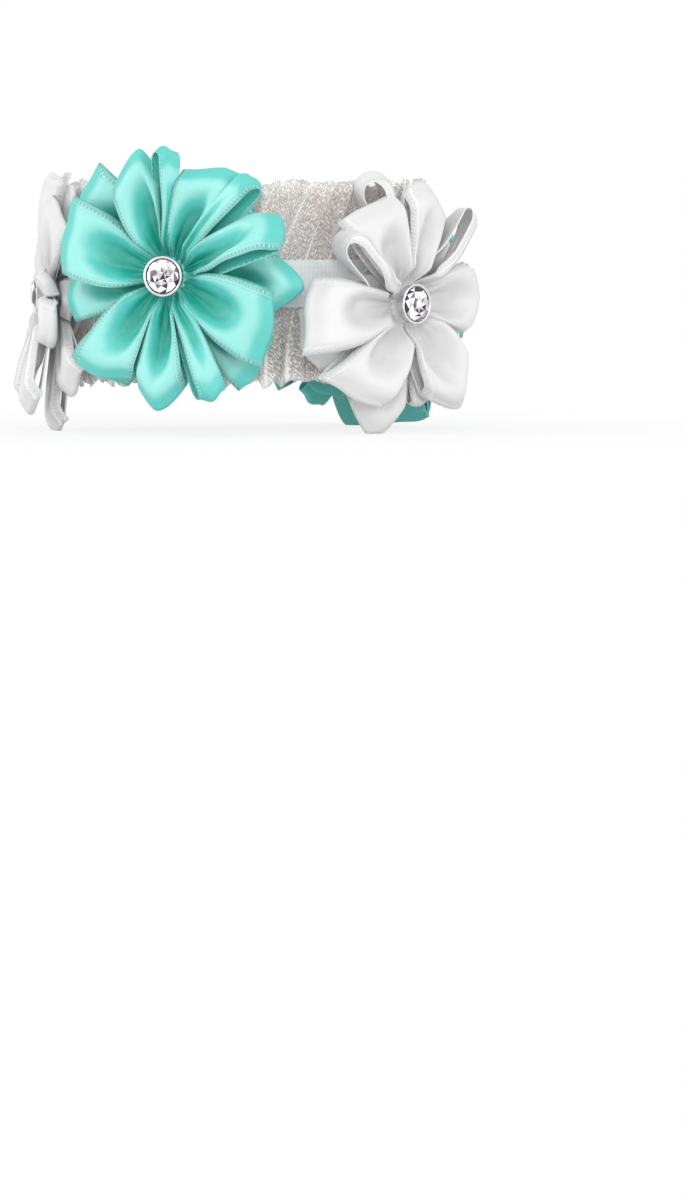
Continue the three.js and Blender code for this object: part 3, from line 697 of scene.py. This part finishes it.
def soft_fibre(tree, dark, light, spacing, roughness):
    """Felt or thread: a mat of fibres, or a twist of them, without gloss."""
    place = node(tree, "TexCoord")
    fibres = node(tree, "TexNoise", {
        "Vector": place.outputs["Object"], "Scale": 1 / spacing, "Detail": 5.0, "Roughness": 0.75})
    base = node(tree, "Mix", {
        "Factor": fibres, "A": colour(dark), "B": colour(light)}, data_type="RGBA")
    bump = node(tree, "Bump", {"Height": fibres, "Strength": 0.6, "Distance": spacing / 4})
    return node(tree, "BsdfPrincipled", {
        "Base Color": base.outputs["Result"], "Roughness": roughness, "Normal": bump,
        "Sheen Weight": 0.4, "Sheen Roughness": 0.5})


def plated_setting(tree):
    """Bright plated brass: nearly a mirror, with fine marks of polishing."""
    place = node(tree, "TexCoord")
    marks = node(tree, "TexNoise", {
        "Vector": place.outputs["Object"], "Scale": 1 / POLISH_MARK, "Detail": 4.0, "Roughness": 0.6})
    wear = node(tree, "MapRange", {
        "Value": marks, "From Min": 0.3, "From Max": 0.7, "To Min": 0.2, "To Max": 0.34})
    bump = node(tree, "Bump", {"Height": marks, "Strength": 0.2, "Distance": POLISH_RELIEF})
    return node(tree, "BsdfPrincipled", {
        "Base Color": colour("#E6E6E9"), "Metallic": 1.0, "Roughness": wear, "Normal": bump})


def cut_crystal(tree):
    """Cut crystal over foil: each facet painted dark or bright, a painted reflection of what it faces.
    """
    shade = node(tree, "Attribute", attribute_name="facet_painted_reflection", attribute_type="GEOMETRY")
    painted_light_ramp = node(tree, "ValToRGB", {"Fac": shade.outputs["Fac"]})
    painted_light_ramp.color_ramp.interpolation = "CONSTANT"
    steps = [(0.0, "#1C181B"), (0.2, "#756C73"), (0.36, "#CFC8CF"), (0.56, "#FAF9FB")]
    for position, tone in steps[1:]:
        painted_light_ramp.color_ramp.elements.new(position).color = colour(tone)
    painted_light_ramp.color_ramp.elements[0].color = colour(steps[0][1])
    painted_light_ramp.color_ramp.elements[-1].color = colour(steps[-1][1])
    flaws = node(tree, "TexNoise", {"Scale": 1 / STONE_FLAW})
    gloss = node(tree, "MapRange", {"Value": flaws, "To Min": 0.02, "To Max": 0.08})
    return node(tree, "BsdfPrincipled", {
        "Base Color": painted_light_ramp.outputs["Color"], "Metallic": 0.55, "Roughness": gloss,
        "IOR": 1.6, "Coat Weight": 1.0, "Coat Roughness": 0.02})


# rim is a painted highlight and deep a painted shade over body, the ribbon's own colour. pale is the
# colour of the stitches, of the painted sheen on the selvedge, and of the sheen's tint.
RIBBONS = {
    "teal": make_material(
        "polyester satin ribbon teal", satin_ribbon, rim="#A4F2EC", body="#66DCD2", deep="#14AD9B",
        pale="#BDF3EE", trim=0.2, thinness=0.18),
    "white": make_material(
        "polyester satin ribbon white", satin_ribbon, rim="#F6F5F5", body="#F1F0F0", deep="#E0DFE0",
        pale="#FFFFFF", trim=0.8, thinness=0.22),
}
ORGANZA = make_material("sheer nylon organza", sheer_organza)
ELASTIC = make_material("knitted polyester elastic", knitted_elastic)
FELT = make_material("pressed polyester felt", soft_fibre, dark="#DAD8D4", light="#EFEEEB",
                     spacing=FELT_FIBRE, roughness=0.95)
THREAD = make_material("spun polyester thread", soft_fibre, dark="#D8D8D8", light="#F4F4F4",
                       spacing=THREAD_FIBRE, roughness=0.7)
PLATED = make_material("bright plated brass", plated_setting)
CRYSTAL = make_material("foil backed cut crystal", cut_crystal)


# Band

def pleat_phase(turn, row):
    """Pleats are a little uneven, and lean from one edge to the other."""
    uneven = sum(wave(*shift, turn) for shift in SHIFT_WAVES)
    lean = sum(wave(*leaning, turn) for leaning in LEAN_WAVES)
    across = row if row > 0 else row * LOWER_LEAN_SHARE
    return PLEAT_COUNT * turn + PLEAT_SHIFTS * uneven + across * lean


def organza_place(along, row):
    """Pleats open from the elastic towards both edges and fold over sideways; the edges are frilled."""
    turn = along * CIRCLE
    flat_share = ELASTIC_HEIGHT / ORGANZA_HEIGHT
    opened = max(0, abs(row) - flat_share) / (1 - flat_share)
    gather = opened ** GATHER_POWER
    hem = opened ** HEM_POWER
    phase = pleat_phase(turn, row)
    frill = sin(FRILL_COUNT * turn + wave(*FRILL_WAVE, turn) + row) * hem
    pleat = PLEAT_DEPTH * gather * (sin(phase) + 1) / 2
    level = ORGANZA_BASE + pleat + FRILL_DEPTH * (frill + 1) / 2
    fold = PLEAT_FOLD * gather * (1 - HEM_LOSS_SHARE * hem)
    lean = fold * cos(phase) / band_speed(turn)
    ripple = cos(FRILL_COUNT * turn / 2 + wave(*RIPPLE_WAVE, turn))
    ripple += sin(RIPPLE_COUNT * turn + 1 + row)
    edge = FRILL_HEIGHT * ripple * hem
    height = row * ORGANZA_HEIGHT / 2 + copysign(edge, row)
    return band_point(turn + lean, level, height)


def organza_fold(along, row):
    """1 along the edge of a pleat, where the cloth lies double, and 0 between."""
    turn = along * CIRCLE
    near = abs(sin(pleat_phase(turn, row) / 2 + CREASE_SHIFT * row))
    strength = CREASE_STRENGTH + wave(*CREASE_WAVE, 2 * row, turn)
    crease = CREASE_TONE * smooth(*CREASE_SHARES, near)
    return strength * (crease + SLOPE_TONE * smooth(*SLOPE_SHARES, near))


def make_organza():
    length = BAND_LENGTH * ORGANZA_FULLNESS
    ruffle = cloth("organza_band", BAND_STEPS, BAND_CROSS_STEPS, length, ORGANZA_HEIGHT,
                   organza_place, organza_fold)
    edit_all(ruffle, (bpy.ops.mesh.remove_doubles, {"threshold": MERGE_DISTANCE}))
    normals_out(ruffle)
    apply_modifier(ruffle, "SOLIDIFY", thickness=ORGANZA_THICKNESS, offset=0)
    shade_smooth(ruffle)
    finish_piece(ruffle, ORGANZA, "organza", "organza_ruffle")


def elastic_place(along, side):
    """A strip bent into a ring, its outer end lying over its inner end."""
    start = radians(SEAM_TURN)
    lap_end = turn_along(start, LAP_LENGTH) + CIRCLE
    rise_start = turn_along(start, -LAP_RISE_LENGTH) + CIRCLE
    turn = mix(start, lap_end, along)
    lap_rise = (ELASTIC_THICKNESS + CLEARANCE) * smooth(rise_start, start + CIRCLE, turn)
    scallop = wave(SCALLOP_DEPTH, SCALLOP_COUNT, 0, turn) * abs(side) ** SCALLOP_POWER
    middle = ELASTIC_BASE + ELASTIC_THICKNESS / 2
    height = side * (ELASTIC_HEIGHT / 2 - ELASTIC_INSET) + scallop
    return band_point(turn, middle + lap_rise, height)


def make_elastic():
    length = BAND_LENGTH + LAP_LENGTH
    strip = cloth("elastic_strip", ELASTIC_STEPS, ELASTIC_CROSS_STEPS, length, ELASTIC_HEIGHT,
                  elastic_place)
    normals_out(strip)
    apply_modifier(strip, "SOLIDIFY", thickness=ELASTIC_THICKNESS * ELASTIC_BODY_SHARE, offset=0)
    apply_modifier(strip, "BEVEL", width=ELASTIC_EDGE, segments=2, limit_method="ANGLE")
    shade_smooth(strip, angle=50)
    finish_piece(strip, ELASTIC, "elastic", "elastic_band")


def tube(name, points, radius, cyclic=False):
    """A thread along points, as a mesh."""
    line = bpy.data.curves.new(name, "CURVE")
    line.dimensions = "3D"
    line.bevel_depth = radius
    line.bevel_resolution = 3
    spline = line.splines.new("NURBS")
    spline.points.add(len(points) - 1)
    for knot, point in zip(spline.points, points):
        knot.co = (*point, 1)
    spline.order_u = 3
    spline.use_endpoint_u = not cyclic
    spline.use_cyclic_u = cyclic
    line.resolution_u = 6
    line.use_fill_caps = not cyclic
    select_only(new_object(name, line))
    bpy.ops.object.convert(target="MESH")
    return new_piece(name)


def make_seam():
    """A zigzag of thread over the lap, sewn through at each turn."""
    level = ELASTIC_TOP + ELASTIC_THICKNESS + CLEARANCE + SEAM_RADIUS
    middle = turn_along(radians(SEAM_TURN), LAP_LENGTH / 2)
    points = []
    for i in range(SEAM_STEPS + 1):
        along = (i / SEAM_STEPS - 0.5) * LAP_LENGTH * SEAM_SHARE
        side = (-0.5 if i % 2 == 0 else 0.5) * ELASTIC_HEIGHT * SEAM_SHARE
        points.append(band_point(turn_along(middle, along), level, side))
    seam = tube("seam_stitches", points, SEAM_RADIUS)
    shade_smooth(seam)
    finish_piece(seam, THREAD, "thread", "seam_thread")


# Flowers

def flower_place(flower, across, up, level):
    """A point of a flower: across and up as it is looked at, and out from the band's inside."""
    turn = radians(flower.turn)
    outward = band_normal(turn)
    sideways = Vector((-outward.y, outward.x, 0))
    start = band_point(turn, level, flower.height + up)
    return start + sideways * across


def drooped(flower, across, up, level):
    sag = flower.top_sag if up > 0 else flower.low_sag
    fall = flower.droop * (across / PETAL_LENGTH) ** 2 + sag * (up / PETAL_LENGTH) ** 2
    return flower_place(flower, across, up, level - fall)


def ring_levels(upper, full, reach):
    """The two levels between which a ring's loops lie, at a distance from the flower's middle."""
    parting = LOWER_HUB_TOP + CLEARANCE / 2 + RING_RISE * reach / PETAL_LENGTH
    inset = (CLEARANCE + SOLID_RIBBON) / 2
    if upper:
        return parting + inset, parting + inset + UPPER_LOOP_HEIGHT * full
    crest = parting - inset
    opened = smooth(PAD_RADIUS, PETAL_LENGTH, reach)
    return mix(LOWER_HUB_BASE + inset, crest - LOWER_LOOP_HEIGHT * full, opened), crest


def with_sectors(loops):
    """Each loop with the half angles that it keeps to, on its left and on its right."""
    ordered = sorted(loops, key=lambda loop: (loop.turn - loops[0].turn) % 360)
    shared = []
    for i, loop in enumerate(ordered):
        after = ordered[(i + 1) % len(ordered)]
        before = ordered[i - 1]
        left = (after.turn - loop.turn) % 360 * loop.spread / (loop.spread + after.spread)
        right = (loop.turn - before.turn) % 360 * loop.spread / (loop.spread + before.spread)
        shared.append((loop, left, right))
    return shared


def half_width(laid, reach, side):
    """Half of a loop's width: the sector's at first, and the ribbon's further out. One side of each
    loop lies over its neighbour."""
    angle = laid.left if side > 0 else laid.right
    share = OVERLAP_SHARE if side > 0 else SECTOR_SHARE
    sector = reach * tan(radians(min(angle, WIDEST_SECTOR))) * share
    ribbon = laid.loop.spread * RIBBON_WIDTH / 2
    return sector * ribbon / (sector ** WIDTH_POWER + ribbon ** WIDTH_POWER) ** (1 / WIDTH_POWER)


def cup_depth(quirk, on_top, side):
    """How deep in the loop's cup a point lies: 1 on its floor, 0 on the rim round it."""
    round_off = CUP_ROUND * side * side
    leaning = on_top + CUP_SLANT * quirk.lean * side
    cup = smooth(*CUP_SHARES, leaning + round_off)
    off = side - quirk.lean * (1 - abs(side))
    wall = smooth(*WALL_SHARES, abs(off))
    return (1 - cup) * (1 - wall)


def gathers(quirk, on_top, side):
    """The gathers that run out from the middle: 1 on a ridge, -1 in a crease, 0 where they end."""
    run = (1 - smooth(*GATHER_SHARES, on_top)) * smooth(0, GATHER_START_SHARE, on_top)
    return run * cos(side * pi * GATHER_COUNT + quirk.phase)


def loop_painted_shade(quirk, along, side):
    """Painted shade of the ribbon: how deep in a fold it lies, from 0 on a rim to 1 in the dark."""
    on_top = along / TOP_SHARE
    if on_top > 1:
        return UNDERSIDE_PAINTED_SHADE
    cup = CUP_PAINTED_SHADE * cup_depth(quirk, on_top, side)
    near_stone = MIDDLE_PAINTED_SHADE * (1 - smooth(*GATHER_SHARES, on_top))
    crease = GATHER_PAINTED_SHADE * max(0, -gathers(quirk, on_top, side))
    slope = TIP_PAINTED_SHADE * smooth(TIP_PAINTED_SHADE_SHARE, 1, on_top)
    return min(1, cup + near_stone + crease + slope)


def loop_tip(loop, quirk, side):
    """How far out the loop's tip is, square, rounded or pointed, and a little wavy."""
    point = TIP_POINT * max(loop.point, LEAST_POINT_SHARE)
    tip = PETAL_LENGTH * loop.reach - point * abs(side) ** TIP_ROUND + TIP_SKEW * loop.skew * side
    return tip + wave(TIP_WAVE, TIP_WAVE_COUNT, quirk.phase, side) * (1 - side * side)


def tip_fall(laid):
    """How far the rim of a wide loop falls at its tip."""
    return TIP_FALL * laid.full * smooth(*WIDE_LOOP_SHARES, laid.loop.spread)


def loop_top(laid, reach, on_top, side, under, crest):
    """The level of the loop's top: from the hub over the cup and its rim to the fall at the tip."""
    wide = smooth(*WIDE_LOOP_SHARES, laid.loop.spread)
    fallen = max(0, (on_top - RIM_SHARE) / (1 - RIM_SHARE)) ** 2
    rim = crest + CUP_RIM - tip_fall(laid) * fallen
    open_crest = mix(rim, under + CUP_FLOOR, wide * cup_depth(laid.quirk, on_top, side))
    hub_top = (UPPER_HUB_TOP if laid.upper else LOWER_HUB_TOP) - SOLID_RIBBON / 2
    top = mix(hub_top, open_crest, smooth(SETTING_RADIUS, SETTING_RADIUS + HUB_RADIUS, reach))
    curl = laid.quirk.curl if side > 0 else UNDER_CURL
    creased = max(0, abs(side) - EDGE_SHARE) / (1 - EDGE_SHARE)
    edge = curl * creased * smooth(*CURL_SHARES, on_top)
    return top + GATHER_DEPTH * gathers(laid.quirk, on_top, side) - edge


def rolled(laid, reach, opened, sideways, level, under, crest):
    """Sideways and level after the loop's roll about its own length, which lifts it until its lower
    side is where its underside was."""
    loop = laid.loop
    rolled_out = OPENED_SHARE + loop.twist * (1 - OPENED_SHARE)
    roll = radians(loop.roll) * smooth(loop.twist, rolled_out, opened)
    middle = (under + crest) / 2
    rise = level - middle
    level = middle + rise * cos(roll) + sideways * sin(roll)
    lower_side = half_width(laid, reach, -1 if roll > 0 else 1)
    level += lower_side * abs(sin(roll)) - (crest - under) / 2 * (1 - cos(roll))
    return sideways * cos(roll) - rise * sin(roll), level


def loop_point(laid, along, side):
    """Out along the top, over the tip and back underneath: distance out, sideways and level."""
    loop = laid.loop
    tip = loop_tip(loop, laid.quirk, side)
    under_tip, crest_tip = ring_levels(laid.upper, laid.full, tip)
    tip_radius = (crest_tip + CUP_RIM - tip_fall(laid) - under_tip) / 2
    tip_start = tip - tip_radius
    on_top = min(1, along / TOP_SHARE)
    back = max(0, (along - TOP_SHARE - ROLL_SHARE) / (1 - TOP_SHARE - ROLL_SHARE))
    bend = pi * min(1, max(0, (along - TOP_SHARE) / ROLL_SHARE))
    reach = mix(mix(PETAL_ROOT, tip_start, on_top), PETAL_ROOT, back)
    opened = (reach - PETAL_ROOT) / (tip_start - PETAL_ROOT)
    sideways = half_width(laid, reach, side) * side
    under, crest = ring_levels(laid.upper, laid.full, hypot(reach, sideways))
    top = loop_top(laid, reach, on_top, side, under, crest)
    level = under if back > 0 else mix(top, under, (1 - cos(bend)) / 2)
    tilt = SHINGLE_HEIGHT * smooth(0, OPENED_SHARE, opened) * (side + 1) / 2 if laid.upper else 0
    sideways, level = rolled(laid, reach, opened, sideways, level, under, crest)
    out = reach + tip_radius * sin(bend) * (0 if back > 0 else 1)
    return out, sideways, level + tilt + LIFT_HEIGHT * loop.lift * (reach / PETAL_LENGTH) ** 2


def loop_length(loop):
    """The ribbon in a loop, out and back."""
    return 2 * (PETAL_LENGTH * loop.reach - PETAL_ROOT)


def make_loop(flower, upper, loop, left, right, quirk):
    """A loop of ribbon, bent along loop_point and turned into its place in the flower."""
    turn = radians(loop.turn + flower.spin)
    full = (1 - flower.pressed * (1 + sin(turn)) / 2) * loop.swell
    laid = Laid(loop, upper, full, left, right, quirk)

    def place(along, side):
        out, sideways, level = loop_point(laid, along, side)
        bent = turn + radians(loop.bend) * (out / PETAL_LENGTH) ** 2
        across = out * cos(bent) - sideways * sin(bent)
        up = out * sin(bent) + sideways * cos(bent)
        point = drooped(flower, across, up, level)
        point.z = max(point.z, RIBBON_THICKNESS / 2)
        return point

    # The fold attribute of a loop holds its painted shade
    return cloth("loop", LOOP_STEPS, LOOP_CROSS_STEPS, loop_length(loop), RIBBON_WIDTH, place,
                 lambda along, side: loop_painted_shade(quirk, along, side))


def gathered_core(flower, radius, base, top, ridges):
    """The pinched middle of the gathered ribbon: a short core with the gathers showing on its side."""
    bpy.ops.mesh.primitive_cylinder_add(vertices=CORE_SIDES, radius=radius, depth=top - base)
    core = new_piece("core")
    edit_all(core, (bpy.ops.mesh.subdivide, {"number_cuts": 2}))

    def place(point):
        turn = atan2(point.y, point.x)
        gather = 1 - CORE_GATHER_SHARE * (1 + cos(ridges * turn))
        return flower_place(flower, point.x * gather, point.y * gather, (base + top) / 2 + point.z)

    move_vertices(core, place)
    for corner in core.data.uv_layers.active.data:
        corner.uv = (0, 0)
    normals_out(core)
    return core


def make_ring(flower, upper, draw):
    """One length of ribbon, gathered into a ring of loops."""
    layer = "upper" if upper else "lower"
    loops = flower.upper if upper else flower.lower
    curl = CLOSED_CURL if flower.ribbon == "white" else EDGE_CURL
    parts = []
    for loop, left, right in with_sectors(loops):
        quirk = Quirk(draw.uniform(-CUP_LEAN_LIMIT, CUP_LEAN_LIMIT), draw.uniform(0, CIRCLE), curl)
        parts.append(make_loop(flower, upper, loop, left, right, quirk))
    ring_name = f"{flower.name}_{layer}_ribbon"
    ring = joined(ring_name, *parts)
    apply_modifier(ring, "SOLIDIFY", thickness=RIBBON_THICKNESS, offset=0)
    ring = joined(ring_name, ring, *(gathered_core(flower, *core) for core in CORES[layer]))
    shade_smooth(ring)
    finish_piece(ring, RIBBONS[flower.ribbon], f"{flower.ribbon}_ribbon",
                 f"{flower.name}_{layer}_petals")
    lengths = [loop_length(loop) for loop in loops]
    shown = sum(length * RIBBON_WIDTH * min(1, loop.spread) for length, loop in zip(lengths, loops))


def make_pad(flower):
    """A disc of felt that follows the band's curve."""
    bpy.ops.mesh.primitive_circle_add(vertices=PAD_SIDES, radius=PAD_RADIUS, fill_type="TRIFAN")
    pad = new_piece(f"{flower.name}_pad")
    edit_all(pad, (bpy.ops.mesh.subdivide, {"number_cuts": 4}))
    middle = radians(flower.turn)

    def place(point):
        turn = turn_along(middle, point.x)
        ragged = 1 + wave(*PAD_RAGGEDNESS, 0, atan2(point.y, point.x))
        return band_point(turn, PAD_BASE + PAD_THICKNESS / 2, flower.height + point.y * ragged)

    move_vertices(pad, place)
    apply_modifier(pad, "SOLIDIFY", thickness=PAD_THICKNESS, offset=0)
    apply_modifier(pad, "BEVEL", width=CUT_EDGE, segments=2, limit_method="ANGLE")
    shade_smooth(pad, angle=50)
    finish_piece(pad, FELT, "felt", f"{flower.name}_felt_pad")


def make_thread(flower):
    """The gathering thread round the stub, a twist of two strands."""
    strands = []
    for strand in range(2):
        points = []
        for i in range(WRAP_STEPS):
            turn = CIRCLE * i / WRAP_STEPS
            twist = turn * THREAD_TWISTS + pi * strand
            out = STUB_RADIUS + THREAD_OFFSET + THREAD_RADIUS / 2 * cos(twist)
            level = UPPER_HUB_TOP + THREAD_LEVEL + THREAD_RADIUS / 2 * sin(twist)
            points.append(flower_place(flower, out * cos(turn), out * sin(turn), level))
        strands.append(tube("strand", points, THREAD_RADIUS, cyclic=True))
    thread = joined(f"{flower.name}_thread", *strands)
    shade_smooth(thread)
    finish_piece(thread, THREAD, "thread", f"{flower.name}_gathering_thread")


def add_ring(ring, fill_type):
    radius, level, corners, offset = ring
    bpy.ops.mesh.primitive_circle_add(vertices=corners, radius=radius, fill_type=fill_type,
                                      location=(0, 0, level), rotation=(0, 0, offset))


def select_from(body, first):
    """Leaves edit mode for a moment, and selects the vertices from first on and the edges between."""
    bpy.ops.object.mode_set(mode="OBJECT")
    for vertex in body.data.vertices:
        vertex.select = vertex.index >= first
    for edge in body.data.edges:
        edge.select = all(v >= first for v in edge.vertices)
    bpy.ops.object.mode_set(mode="EDIT")


def lathed(name, outline):
    """A body of rings bridged one to the next, with both ends closed. outline holds radius, level,
    number of corners and turn of each ring."""
    add_ring(outline[0], "NGON")
    body = new_piece(name)
    bpy.ops.object.transform_apply(location=True, rotation=True, scale=True)
    bpy.ops.object.mode_set(mode="EDIT")
    first = 0
    count = outline[0][2]
    for ring in outline[1:]:
        bpy.ops.mesh.select_all(action="DESELECT")
        add_ring(ring, "NOTHING")
        select_from(body, first)
        bpy.ops.mesh.bridge_edge_loops()
        first = count
        count += ring[2]
    select_from(body, first)
    bpy.ops.mesh.edge_face_add()
    bpy.ops.object.mode_set(mode="OBJECT")
    normals_out(body)
    return body


def make_setting(flower):
    """A drawn metal cup: rounded foot, straight wall, and a lip burnished over the stone."""
    inner = SETTING_RADIUS - SETTING_WALL
    floor = SETTING_BASE + SETTING_WALL
    outline = [
        (inner * FLOOR_SHARES[0], floor),
        (inner * FLOOR_SHARES[1], floor),
        (inner, floor + FLOOR_ROUND),
        (inner, SETTING_TOP),
        (inner + LIP_ROUND, SETTING_TOP + SETTING_LIP * LIP_SHARES[1]),
        (SETTING_RADIUS - LIP_ROUND, SETTING_TOP + SETTING_LIP),
        (SETTING_RADIUS + SETTING_LIP * LIP_SHARES[1], SETTING_TOP + SETTING_LIP * LIP_SHARES[2]),
        (SETTING_RADIUS + SETTING_LIP, SETTING_TOP),
        (SETTING_RADIUS + SETTING_LIP * LIP_SHARES[0], SETTING_TOP - LIP_DROP),
        (SETTING_RADIUS, floor),
        (SETTING_RADIUS - SETTING_ROUND, SETTING_BASE + SETTING_ROUND),
        (inner, SETTING_BASE),
        (inner * FLOOR_SHARES[0], SETTING_BASE),
    ]
    cup = lathed(f"{flower.name}_cup", [(r, z, SETTING_SIDES, 0) for r, z in outline])
    move_vertices(cup, lambda point: flower_place(flower, *point))
    shade_smooth(cup, angle=40)
    finish_piece(cup, PLATED, "setting", f"{flower.name}_stone_setting")


def make_stone(flower, draw):
    """A round stone: table, star and main facets of the crown, and a thin girdle over the foil."""
    half_step = pi / GIRDLE_SIDES
    crown = GIRDLE_LEVEL + STONE_GIRDLE
    table = crown + STONE_CROWN
    outline = [
        (STONE_RADIUS * TABLE_SHARE / 2, table - TABLE_DISH, CROWN_SIDES, half_step),
        (STONE_RADIUS * TABLE_SHARE, table, CROWN_SIDES, 0),
        (STONE_RADIUS * CROWN_RADIUS_SHARE, mix(crown, table, 0.5), CROWN_SIDES, 2 * half_step),
        (STONE_RADIUS, crown, GIRDLE_SIDES, half_step),
        (STONE_RADIUS, GIRDLE_LEVEL, GIRDLE_SIDES, half_step),
        (STONE_RADIUS * CULET_SHARE, STONE_BASE, CROWN_SIDES, 0),
    ]
    stone = lathed(f"{flower.name}_stone", outline)
    edit_all(stone, (bpy.ops.mesh.quads_convert_to_tris, {}))
    facet_painted_reflection = stone.data.attributes.new("facet_painted_reflection", "FLOAT", "FACE")
    # Each facet is a painted reflection, dark or bright: a stone that faces a side is painted with more
    # dark ones
    painted_darkness = mix(*PAINTED_REFLECTION_DARKNESS, sin(radians(flower.turn)) ** 2)
    for face in facet_painted_reflection.data:
        face.value = draw.random() ** painted_darkness
    move_vertices(stone, lambda point: flower_place(flower, *point))
    finish_piece(stone, CRYSTAL, "rhinestone", f"{flower.name}_rhinestone")


# Stage

def aimed(name, data, place, aim):
    """A camera or a lamp at a place, turned towards its aim."""
    holder = new_object(name, data)
    holder.location = place
    holder.rotation_euler = (aim - place).to_track_quat("-Z", "Y").to_euler()
    return holder


def make_camera():
    aim = Vector((
        band_middle.x + (PHOTO_WIDTH / 2 - BAND_PIXEL_X) / PHOTO_SCALE,
        band_middle.y,
        (FLOOR_PIXEL_Y - PHOTO_HEIGHT / 2) / PHOTO_SCALE,
    ))
    place = Vector((aim.x, aim.y - CAMERA_DISTANCE, band_middle.z + CAMERA_RISE))
    lens = bpy.data.cameras.new("camera")
    lens.sensor_fit = "AUTO"
    view_height = PHOTO_HEIGHT / PHOTO_SCALE
    lens.lens = lens.sensor_width * (aim - place).length / view_height
    bpy.context.scene.camera = aimed("camera", lens, place, aim)


def make_lamp(lamp):
    light = bpy.data.lights.new(lamp.name, "AREA")
    light.shape = "DISK"
    light.size = lamp.size
    light.energy = lamp.power
    aimed(lamp.name, light, Vector(lamp.place), band_middle)


def seen_white(tree, shader, tone):
    """The same shader, and white where the camera, a reflection or glass looks straight at it."""
    path = node(tree, "LightPath")
    straight = node(tree, "Math", {
        0: path.outputs["Is Camera Ray"], 1: path.outputs["Is Glossy Ray"]}, operation="MAXIMUM")
    seen = node(tree, "Math", {
        0: straight, 1: path.outputs["Is Transmission Ray"]}, operation="MAXIMUM")
    white = node(tree, "Emission", {"Color": colour("#FFFFFF"), "Strength": 1.0})
    share = node(tree, "Math", {0: seen, 1: tone}, operation="MULTIPLY")
    return node(tree, "MixShader", {0: share, 1: shader, 2: white})


def white_floor(tree):
    """Matt white under the corsage, fading to plain white further off."""
    matt = node(tree, "BsdfDiffuse", {"Color": colour("#F2F2F2")})
    place = node(tree, "TexCoord")
    away = node(tree, "VectorMath", {0: place.outputs["Object"]}, operation="LENGTH")
    share = node(tree, "MapRange", {
        "Value": away.outputs["Value"], "From Min": FLOOR_SHADE_START, "From Max": FLOOR_SHADE_END,
        "To Min": FLOOR_WHITE_SHARE, "To Max": 1.0}, interpolation_type="SMOOTHSTEP")
    return seen_white(tree, matt, share)


def make_floor():
    bpy.ops.mesh.primitive_plane_add(size=FLOOR_SIZE)
    floor = new_piece("floor")
    floor.data.materials.append(make_material("matt white floor", white_floor))


def make_sky():
    world = bpy.data.worlds.new("studio")
    bpy.context.scene.world = world
    world.use_nodes = True
    tree = world.node_tree
    tree.nodes.clear()
    sky = node(tree, "Background", {"Color": colour("#FFFFFF"), "Strength": SKY_STRENGTH})
    node(tree, "OutputWorld", {"Surface": seen_white(tree, sky, 1.0)})


make_camera()
draw = random.Random(7)
make_organza()
make_elastic()
make_seam()
for flower in FLOWERS:
    make_pad(flower)
    make_ring(flower, False, draw)
    make_ring(flower, True, draw)
    make_thread(flower)
    make_setting(flower)
    make_stone(flower, draw)
make_floor()
make_sky()
for lamp in LAMPS:
    make_lamp(lamp)
bpy.context.scene.view_settings.view_transform = "Standard"
